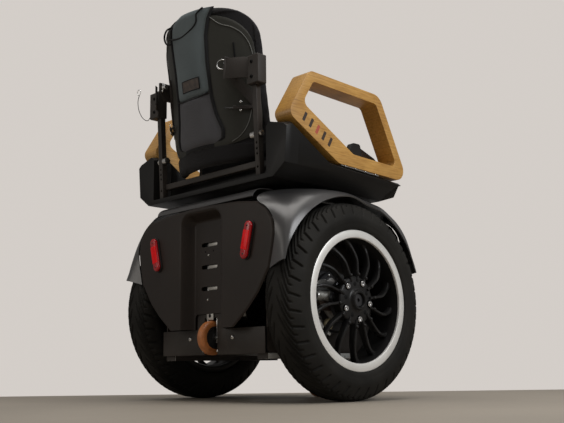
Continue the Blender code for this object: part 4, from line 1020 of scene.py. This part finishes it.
def rollers():
    for name, way, z in (("rear", -1, 0.164), ("front", 1, 0.045)):
        centre = (0, way * 0.200, z)
        tread = lathe([(0.0294, 0.0124), (0.0360, 0.0130), (0.0400, 0.0124), (0.0430, 0.0102), (0.0445, 0.0072),
                       (0.0450, 0.0030), (0.0450, -0.0030), (0.0445, -0.0072), (0.0430, -0.0102),
                       (0.0400, -0.0124), (0.0360, -0.0130), (0.0294, -0.0124)], centre, 72)
        hub = lathe([(0.0050, 0.0150), (0.0090, 0.0150), (0.0100, 0.0110), (0.0240, 0.0095), (0.0262, 0.0124),
                     (0.0290, 0.0124), (0.0290, -0.0124), (0.0262, -0.0124), (0.0240, -0.0095),
                     (0.0100, -0.0110), (0.0090, -0.0150), (0.0050, -0.0150)], centre, 72)
        body = name + "_roller"
        put(name + "_roller_tyre", shade(tread, 30), TREAD, body, [name + "_roller_tread"])
        put(name + "_roller_centre", shade(hub, 30), NYLON, body, [name + "_roller_hub"])
        polish(name + "_support_leg", STEEL, 0.0010, 2)
        if name == "rear":
            face = cube((-0.0135, -0.2092, z + 0.0460), (0.0135, -0.2062, z + 0.0690), 0.0010)
            put("rear_fork_head", face, ALUMINIUM, "rear_support")
            # Thin near-black disc on the fork head: painted shade for its hole.
            hole = rod((0, -0.2094, z + 0.0570), (0, -0.2090, z + 0.0570), 0.0050, 20)
            put("rear_fork_head_hole_shade", hole, SHADE_PAINT, "rear_support")
            for side, word in SIDES:
                screw("rear_fork_nut_" + word, (side * 0.0246, centre[1], z), (side, 0, 0), 0.0062, "rear_support")


rollers()


# ---------------------------------------------------------------- seat
polish("seat_tub", TUB, 0.0045, 4)


def pad(mesh, steps, cap, voxel, pressure, name, material, body, node, slot, fill):
    """Blows a closed shape up a little as stuffed cloth and lets no point move further than cap."""
    start = refine(mesh, [("REMESH", {"mode": "VOXEL", "voxel_size": voxel, "adaptivity": 0.0})])
    start.transform(HERE)
    made = bpy.data.objects.new(name, start)
    bpy.context.scene.collection.objects.link(made)
    rest = np.array([v.co for v in start.vertices])
    soft = made.modifiers.new("stuffing", "CLOTH")
    soft.settings.quality = 4
    soft.settings.mass = 0.3
    soft.settings.tension_stiffness = 20
    soft.settings.compression_stiffness = 20
    soft.settings.bending_stiffness = 0.6
    soft.settings.use_pressure = True
    soft.settings.uniform_pressure_force = pressure
    soft.settings.effector_weights.gravity = 0.0
    soft.point_cache.frame_end = steps
    for step in range(1, steps + 1):
        bpy.context.scene.frame_set(step)
    graph = bpy.context.evaluated_depsgraph_get()
    blown = bpy.data.meshes.new_from_object(made.evaluated_get(graph))
    made.modifiers.clear()
    now = np.array([v.co for v in blown.vertices])
    move = now - rest
    length = np.linalg.norm(move, axis=1, keepdims=True)
    now = rest + move * np.minimum(1.0, cap / np.maximum(length, 1e-9))
    blown.vertices.foreach_set("co", now.ravel().astype(np.float32))
    made.data = blown
    bpy.context.scene.frame_set(1)
    made.data = refine(made.data.copy(), [("SMOOTH", {"factor": 0.5, "iterations": 6}),
                                          ("SUBSURF", {"levels": 1, "render_levels": 1})])
    return made


def finish_pad(made, material, body, node):
    made.data.materials.clear()
    made.data.materials.append(material)
    made.data.shade_smooth()
    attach(made, body)
    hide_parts(node)


def seat_pad():
    """Seat pad: crowned, with a sewn cross of channels and a welt round its edge."""
    rings = []
    for t in np.linspace(0, 1, 25):
        y = -0.163 + (0.224 + 0.163) * t
        end = min(t, 1 - t) * 0.387
        pull = 0.0045 * sin(pi * t)
        half = 0.2020 - pull - 0.016 * (1 - min(1, end / 0.030)) ** 2
        half = min(half, float(np.interp(y, [-0.163, -0.138, -0.094, -0.074], [0.082, 0.124, 0.166, 0.200])))
        top = 0.6240 + 0.0040 * sin(pi * t) - 0.010 * (1 - min(1, end / 0.030)) ** 2
        rings.append([(half * a, y, 0.5640 + (top - 0.5640) * b) for a, b in (
            (-1, 0.12), (-0.97, 0), (-0.5, 0), (0, 0), (0.5, 0), (0.97, 0), (1, 0.12), (1, 0.80), (0.97, 0.95),
            (0.90, 1.0), (0.5, 1.03), (0, 1.04), (-0.5, 1.03), (-0.90, 1.0), (-0.97, 0.95), (-1, 0.80))])
    made = pad(loft(rings), 18, 0.007, 0.005, 4.0, "seat_pad", CLOTH, "chassis", "seat_cushion", "black_fabric",
               0.6)
    co = np.array([v.co for v in made.data.vertices])
    x, y, z = co[:, 0], co[:, 1] - AXLE_Y, co[:, 2]
    upper = smoothstep(z, 0.606, 0.620)
    for line in (-0.070, 0.060):
        co[:, 2] -= 0.0060 * np.exp(-((y - line) / 0.0065) ** 2) * upper
    for line in (-0.095, 0.095):
        co[:, 2] -= 0.0060 * np.exp(-((x - line) / 0.0065) ** 2) * upper
    co[:, 2] = np.minimum(co[:, 2], 0.6338)
    co[:, 2] = np.maximum(co[:, 2], 0.5625)
    co[:, 0] = np.clip(co[:, 0], -0.2065, 0.2065)
    made.data.vertices.foreach_set("co", co.ravel().astype(np.float32))
    finish_pad(made, CLOTH, "chassis", "seat_cushion")
    corners = rounded([(-0.2015, -0.0760), (-0.1660, -0.0950), (-0.1240, -0.1400), (-0.0820, -0.1640),
                       (0.0820, -0.1640), (0.1240, -0.1400), (0.1660, -0.0950), (0.2015, -0.0760),
                       (0.2015, 0.2215), (-0.2015, 0.2215)], 0.012, 5)
    welt = smooth_path([(x, y, 0.6200) for x, y in corners], 3, closed=True)
    put("seat_pad_welt", tube(welt, 0.0024, closed=True, sides=8), BINDING, "chassis")
    rear = [(-0.2160, -0.0760), (-0.1700, -0.0990), (-0.1280, -0.1440), (-0.0840, -0.1690)]
    behind = rear + [(-x, y) for x, y in reversed(rear)]
    ahead = [(x * 0.985, y + 0.0130) for x, y in reversed(behind)]
    bolster = plate([rounded(behind + ahead, 0.0040, 4)], "XY", 0.5640, 0.6580, 0.0045, 4)
    put("seat_pad_rear_edge", bolster, CLOTH, "chassis", ())
    wall = cube((-0.2135, -0.1790, 0.5625), (0.2135, -0.1730, 0.6105), 0.0025)
    put("seat_tub_rear_wall", wall, TUB, "chassis")


seat_pad()


# ---------------------------------------------------------------- armrests and control
ARM_OUTER = [(-0.216, 0.704), (-0.138, 0.830), (0.138, 0.820), (0.252, 0.5905), (-0.035, 0.603)]
ARM_OUTER_R = [0.022, 0.026, 0.040, 0.030, 0.050]
ARM_WIDTHS = [0.026, 0.027, 0.026, 0.035, 0.057]
ARM_INNER_R = [0.018, 0.014, 0.016, 0.014, 0.020]
WOOD_OUT, WOOD_IN = 0.310, 0.253


def inset(corners, widths):
    """The corners of a polygon whose sides have each moved in by their own width."""
    lines = []
    for i, corner in enumerate(corners):
        start, end = Vector(corner), Vector(corners[(i + 1) % len(corners)])
        along = (end - start).normalized()
        lines.append((start + Vector((along.y, -along.x)) * widths[i], along))
    points = []
    for i in range(len(lines)):
        (p, u), (q, v) = lines[i - 1], lines[i]
        gap = q - p
        points.append(tuple(p + u * ((gap.x * v.y - gap.y * v.x) / (u.x * v.y - u.y * v.x))))
    return points


def armrests():
    hole = inset(ARM_OUTER, ARM_WIDTHS)
    board = plate([rounded(ARM_OUTER, ARM_OUTER_R, 14), rounded(hole, ARM_INNER_R, 12)], "YZ", WOOD_IN,
                  WOOD_OUT, 0.0110, 6)
    rail = (Vector(ARM_OUTER[0]) - Vector(ARM_OUTER[4])).normalized()
    across = Vector((rail.y, -rail.x))
    for side, word in SIDES:
        body = word + "_arm"
        put(word + "_armrest_board", mirrored(board, side), WOOD, body, [word + "_armrest"])
        polish(word + "_armrest_hinge", STEEL, 0.0006, 2)
        for i in range(4):
            y = -0.008 + 0.040 * i
            z = 0.603 + (0.5905 - 0.603) * (y + 0.035) / 0.287 - 0.0030
            pin = rod((side * 0.3075, y, z), (side * 0.3100, y, z), 0.0022, 16, bevel=0.0004)
            put(f"{word}_hinge_pin_{i}", pin, CHROME, "chassis")
    middle = Vector(ARM_OUTER[4]) + across * 0.0285
    for i, (along, length, material) in enumerate((
            (0.052, 0.0260, INK), (0.078, 0.0260, INK), (0.104, 0.0260, RED_INK), (0.130, 0.0260, INK),
            (0.156, 0.0260, INK))):
        spot = middle + rail * along
        bar = [(spot.x + u * rail.x * 0.0045 + v * across.x * length / 2,
                spot.y + u * rail.y * 0.0045 + v * across.y * length / 2)
               for u, v in ((-1, -1), (1, -1), (1, 1), (-1, 1))]
        for side, word in SIDES:
            x0, x1 = sorted((side * (WOOD_OUT - 0.0008), side * (WOOD_OUT + 0.0002)))
            put(f"{word}_armrest_inlay_{i}", plate([rounded(bar, 0.0015, 4)], "YZ", x0, x1), material,
                word + "_arm")


def control():
    pivot = Vector((WOOD_IN - 0.0285 + 0.009, 0.104, 0.6760))
    polish("control_bracket", NYLON, 0, 2)
    polish("control_lever", GLOSS, 0.0018, 3)
    cap = lathe([(0.0, 0.0042), (0.0032, 0.0040), (0.0058, 0.0026), (0.0064, 0.0), (0.0, 0.0)], (0, 0, 0), 32)
    cap.transform(Matrix.Translation((pivot.x + 0.0086, pivot.y, pivot.z)))
    put("control_pivot_cap", shade(cap), CHROME, "right_arm")
    tip = lathe([(0.0, 0.0070), (0.0030, 0.0064), (0.0050, 0.0040), (0.0056, 0.0), (0.0050, -0.0030),
                 (0.0, -0.0040)], (0, 0, 0), 32)
    tip.transform(Matrix.Translation((pivot.x, 0.2035, 0.6490)) @ Matrix.Rotation(pi / 2, 4, "Z"))
    put("control_lever_tip", shade(tip), CHROME, "control_lever")


armrests()
control()


# ---------------------------------------------------------------- posts and brackets
BACK_R, BACK_LEAN, BACK_AXIS_Y, BACK_AXIS_Z = 0.2555, radians(8.2), -0.031, 0.900
POST_X, POST_LEAN = 0.2035, radians(3.1)


def post_y(z):
    return -0.2125 - (z - 0.5630) * tan(POST_LEAN)


def back_point(angle, z, radius):
    """A point on the tilted back cylinder: angle from straight behind, towards the sitter's right."""
    axis_y = BACK_AXIS_Y - (z - BACK_AXIS_Z) * tan(BACK_LEAN)
    return Vector((radius * sin(angle), axis_y - radius * cos(angle), z))


def brackets():
    for side, word in SIDES:
        polish(word + "_back_post", BLACK, 0.0012, 2)
        polish(word + "_post_clamp", BLACK, 0.0010, 2)
        polish(word + "_back_arm", BLACK, 0.0008, 2)
        pin = [rod((0.1372, -0.2640, 0.8660), (0.1522, -0.2640, 0.8660), 0.0042, 24, bevel=0.0006),
               rod((0.1282, -0.2640, 0.8660), (0.1382, -0.2640, 0.8660), 0.0070, 28, bevel=0.0010)]
        turn = Matrix.Rotation(radians(30.0), 4, "Z") @ Matrix.Rotation(pi / 2, 4, "X")
        loop = [Vector((0.1290, -0.2765, 0.8600)) + turn @ Vector((0.0130 * cos(a), 0.0130 * sin(a), 0))
                for a in [2 * pi * i / 48 for i in range(48)]]
        pin.append(tube(loop, 0.0015, closed=True, sides=10))
        put(word + "_release_pin_turned", mirrored(together(pin), side), CHROME, word + "_pin",
            [word + "_release_pin"])
        polish(word + "_release_lever", BLACK, 0.0006, 2)
        top_y = post_y(0.875)
        cap = cube((side * POST_X - 0.0082, top_y - 0.0082, 0.8745), (side * POST_X + 0.0082, top_y + 0.0082,
                                                                      0.8780), 0.0012)
        put(word + "_post_cap", cap, NYLON, "chassis")
        # Two screws in the near-black material: painted shade, so they read as the clamp's two dark bolt holes.
        for i, z in enumerate((0.814, 0.854)):
            place = Vector((side * (POST_X + 0.006), post_y(0.834) - 0.0188, z))
            screw(f"{word}_clamp_screw_{i}", place, (0, -1, 0), 0.0052, "chassis", SHADE_PAINT)
        for i, (angle, z) in enumerate(((34.5, 0.7640), (34.0, 0.7420))):
            place = back_point(side * radians(angle), z, BACK_R + 0.0125)
            out = Vector((sin(side * radians(angle)), -cos(radians(angle)), 0))
            screw(f"{word}_back_arm_screw_{i}", place, out, 0.0034, "backrest", CHROME)
        rail = [back_point(side * radians(a), 0.7520 - 0.0004 * (a - 24), BACK_R + 0.0095) for a in range(24, 39, 2)]
        put(word + "_release_bar", tube(rail, 0.0022, sides=10), GLOSS, word + "_lever")
        # A near-black line on the back shell: painted shade for a slot.
        slot = [back_point(side * radians(33.5), z, BACK_R + 0.0004) for z in (0.8850, 0.8980, 0.9110, 0.9240)]
        put(word + "_shell_slot_shade", tube(slot, 0.0022, sides=10), SHADE_PAINT, "backrest")
    polish("back_cross_bar", BLACK, 0.0010, 2)
    wire = smooth_path([(-0.306, -0.232, 0.893), (-0.317, -0.2295, 0.874), (-0.312, -0.2290, 0.846),
                        (-0.290, -0.2300, 0.817), (-0.262, -0.2320, 0.803), (-0.240, -0.2350, 0.812)], 10)
    put("left_clamp_lanyard", tube(wire, 0.0010, sides=8), NYLON, "chassis")
    ring = [Vector((-0.309 + 0.0085 * cos(a), -0.232, 0.900 + 0.0085 * sin(a)))
            for a in [2 * pi * i / 40 for i in range(40)]]
    put("left_clamp_key_ring", tube(ring, 0.0010, closed=True, sides=8), CHROME, "chassis")


brackets()


# ---------------------------------------------------------------- backrest
def outline_of(half_angle, bottom, top, corner_low, corner_high, power=2.6):
    def limits(t):
        fall = (1 - min(1.0, abs(t)) ** power) ** (1 / power)
        return half_angle * t, bottom + corner_low * (1 - fall), top - corner_high * (1 - fall)
    return limits


def back_sheet(limits, outer, inner, columns, rows, bulge=0.0, edge=0.0):
    """A curved slab between two radii. bulge swells its outer side, edge rounds its rim."""
    front, behind = [], []
    for i in range(columns + 1):
        t = -1 + 2 * i / columns
        t = sin(t * pi / 2) * 0.35 + t * 0.65
        angle, low, high = limits(t)
        a_row, b_row = [], []
        for k in range(rows + 1):
            v = k / rows
            z = low + (high - low) * v
            rim = min((1 - abs(t)) * limits(1)[0] * BACK_R, (z - low), (high - z))
            soft = 1 - (1 - min(1.0, rim / edge)) ** 2.2 if edge else 1.0
            half = (outer - inner) / 2
            middle = (outer + inner) / 2
            swell = bulge * (sin(pi * v) * (1 - t * t)) ** 0.5
            a_row.append(back_point(angle, z, middle + (half + swell) * max(soft, 0.04)))
            b_row.append(back_point(angle, z, middle - half * max(soft, 0.04)))
        front.append(a_row)
        behind.append(b_row)
    bm = bmesh.new()
    outside = [[bm.verts.new(p) for p in row] for row in front]
    inside = [[bm.verts.new(p) for p in row] for row in behind]
    for grid in (outside, inside):
        for near, far in zip(grid, grid[1:]):
            for k in range(rows):
                bm.faces.new((near[k], near[k + 1], far[k + 1], far[k]))
    for k in range(rows):
        for column in (0, columns):
            bm.faces.new((outside[column][k], outside[column][k + 1], inside[column][k + 1], inside[column][k]))
    for i in range(columns):
        for row in (0, rows):
            bm.faces.new((outside[i][row], outside[i + 1][row], inside[i + 1][row], inside[i][row]))
    bmesh.ops.remove_doubles(bm, verts=bm.verts, dist=0.00001)
    return to_mesh(bm)


def on_back(points, lift, steps=8, closed=False):
    """A smooth line on the back through (x, z) points, lift metres off the shell."""
    spots = []
    for x, z in points:
        spots.append(Vector((x, z, 0)))
    return [back_point(asin(max(-0.99, min(0.99, p.x / BACK_R))), p.y, BACK_R + lift)
            for p in smooth_path(spots, steps, closed)]


def backrest():
    shell_limits = outline_of(radians(46), 0.655, 1.012, 0.075, 0.125)
    hard = back_sheet(shell_limits, BACK_R, BACK_R - 0.0040, 90, 60, edge=0.0022)
    put("back_shell_moulding", shade(hard, 50), BACK, "backrest", ["back_shell"])

    liner = back_sheet(outline_of(radians(52.0), 0.6075, 1.0400, 0.045, 0.140, 3.0), BACK_R - 0.0060,
                       BACK_R - 0.0320, 64, 64, edge=0.011)
    made = pad(liner, 18, 0.006, 0.005, 4.0, "back_liner", CLOTH, "backrest", "back_cushion", "black_fabric", 0.7)
    co = np.array([v.co for v in made.data.vertices])
    axis_y = AXLE_Y + BACK_AXIS_Y - (co[:, 2] - BACK_AXIS_Z) * tan(BACK_LEAN)
    radius = np.hypot(co[:, 0], co[:, 1] - axis_y)
    angle = np.arctan2(co[:, 0], axis_y - co[:, 1])
    inner = 1 - smoothstep(radius, BACK_R - 0.034, BACK_R - 0.022)
    for line in (0.735, 0.830, 0.925):
        radius += 0.0055 * np.exp(-((co[:, 2] - line) / 0.0065) ** 2) * inner
    for line in (-0.42, 0.42):
        radius += 0.0050 * np.exp(-((angle - line) * BACK_R / 0.0065) ** 2) * inner
    covered = (np.abs(angle) < radians(46.5)) & (co[:, 2] > 0.660) & (co[:, 2] < 1.008) & (radius > BACK_R - 0.022)
    radius = np.where(covered, np.minimum(radius, BACK_R - 0.0046), np.minimum(radius, BACK_R + 0.0035))
    co[:, 0] = radius * np.sin(angle)
    co[:, 1] = axis_y - radius * np.cos(angle)
    made.data.vertices.foreach_set("co", co.ravel().astype(np.float32))
    finish_pad(made, CLOTH, "backrest", "back_cushion")

    edge = [(0.083, 1.006), (0.113, 0.978), (0.140, 0.966), (0.159, 0.950), (0.170, 0.930), (0.176, 0.908),
            (0.178, 0.880), (0.177, 0.840), (0.172, 0.790), (0.164, 0.745), (0.152, 0.706), (0.134, 0.680),
            (0.112, 0.666)]
    for side, word in SIDES:
        line = on_back([(side * x, z) for x, z in edge], 0.0012, 6)
        put(word + "_shell_edge_line", tube(line, 0.0011, sides=8), PIPING, "backrest")


backrest()


def pouch():
    """The padded pouch down the middle of the back: two cloths, piping, a flap, a patch and a loop."""
    widths = [(0.668, 0.060), (0.676, 0.084), (0.700, 0.088), (0.743, 0.073), (0.790, 0.0645), (0.835, 0.0635),
              (0.884, 0.0626), (0.953, 0.0669), (0.998, 0.0790), (1.021, 0.0930), (1.034, 0.0960)]
    narrow = [(0.953, 0.0669), (0.985, 0.0670), (1.003, 0.0620), (1.015, 0.0500), (1.022, 0.0300), (1.027, 0.0100)]

    def half(z):
        return float(np.interp(z, [p[0] for p in widths], [p[1] for p in widths]))

    def left(z):
        """Half width towards the sitter's left, where the pouch rounds off at the top."""
        return half(z) if z < narrow[0][0] else float(np.interp(z, [p[0] for p in narrow], [p[1] for p in narrow]))

    def strip(low, high, name, material, rise, start=None, end=None):
        rows = []
        count = max(8, int((high - low) / 0.006))
        for i in range(count + 1):
            z = low + (high - low) * i / count
            x0, x1 = (start or (lambda v: -left(v)))(z), (end or half)(z)
            ends = min(1.0, min(z - low, high - z) / 0.012 + 0.25)
            row = []
            for k in range(25):
                t = -1 + 2 * k / 24
                puff = rise * (1 - abs(t) ** 3.0) * ends
                row.append(back_point(asin((x0 + (x1 - x0) * k / 24) / BACK_R), z, BACK_R + 0.0008 + puff))
            rows.append(row)
        base = [[back_point(atan2(p.x, BACK_AXIS_Y - (p.z - BACK_AXIS_Z) * tan(BACK_LEAN) - p.y), p.z,
                            BACK_R + 0.0002) for p in row] for row in rows]
        bm = bmesh.new()
        upper = [[bm.verts.new(p) for p in row] for row in rows]
        lower = [[bm.verts.new(p) for p in row] for row in base]
        for grid in (upper, lower):
            for near, far in zip(grid, grid[1:]):
                for k in range(24):
                    bm.faces.new((near[k], near[k + 1], far[k + 1], far[k]))
        for i in range(count):
            for k in (0, 24):
                bm.faces.new((upper[i][k], upper[i + 1][k], lower[i + 1][k], lower[i][k]))
        for i in (0, count):
            for k in range(24):
                bm.faces.new((upper[i][k], upper[i][k + 1], lower[i][k + 1], lower[i][k]))
        return put(name, shade(to_mesh(bm), 60), material, "backrest")

    main = strip(0.668, 0.7990, "pouch_lower", CHARCOAL, 0.0060)
    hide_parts("back_centre_panel")
    def corner(z):
        return 0.016 * (1 - sqrt(1 - (1 - min(1.0, (z - 0.8010) / 0.016)) ** 2))

    upper = strip(0.8010, 1.0270, "pouch_upper", BLUE, 0.0075, lambda z: corner(z) - left(z),
                  lambda z: half(z) - corner(z))
    strip(0.660, 0.6680, "pouch_hem", BINDING, 0.0020)
    strip(0.672, 1.0265, "right_pouch_band", BINDING, 0.0042, lambda z: half(z) - 0.0005, lambda z: half(z) + 0.0095)
    strip(0.672, 1.0100, "left_pouch_band", BINDING, 0.0042, lambda z: -left(z) - 0.0095, lambda z: -left(z) + 0.0005)
    flap = [(-0.0738, 0.9814), (-0.0400, 0.9710), (-0.0059, 0.9671), (0.0328, 0.9784), (0.0506, 0.9935),
            (0.0536, 1.0120), (0.0640, 1.0205), (0.0758, 1.0262)]
    put("pouch_flap_edge", tube(on_back(flap, 0.0072, 6), 0.0026, sides=8), BINDING, "backrest")
    seam = [(-0.062, 0.802), (-0.030, 0.796), (0.0, 0.795), (0.030, 0.796), (0.062, 0.802)]
    put("pouch_seam", tube(on_back(seam, 0.0035, 6), 0.0020, sides=8), BINDING, "backrest")
    patch = []
    for i in range(9):
        z = 0.817 + 0.030 * i / 8
        patch.append([back_point(asin((-0.025 + 0.065 * k / 12) / BACK_R), z, BACK_R + 0.0086) for k in range(13)])
    put("pouch_patch", shade(sheet_of(patch, 0.0008, 1.0)), PATCH, "backrest")
    edge = patch[0] + [row[-1] for row in patch[1:]] + patch[-1][-2::-1] + [row[0] for row in patch[-2:0:-1]]
    put("pouch_patch_frame", tube(edge, 0.0016, closed=True, sides=8), BINDING, "backrest")
    bow = smooth_path([(-0.0560, 1.0100, 0.0040), (-0.0720, 1.0080, 0.0110), (-0.0830, 0.9980, 0.0150),
                       (-0.0880, 0.9850, 0.0150), (-0.0840, 0.9720, 0.0110), (-0.0700, 0.9680, 0.0040)], 8)
    loop = [back_point(asin(p.x / BACK_R), p.y, BACK_R + p.z) for p in bow]
    put("pouch_loop", tube(loop, 0.0026, sides=10), BINDING, "backrest")


pouch()
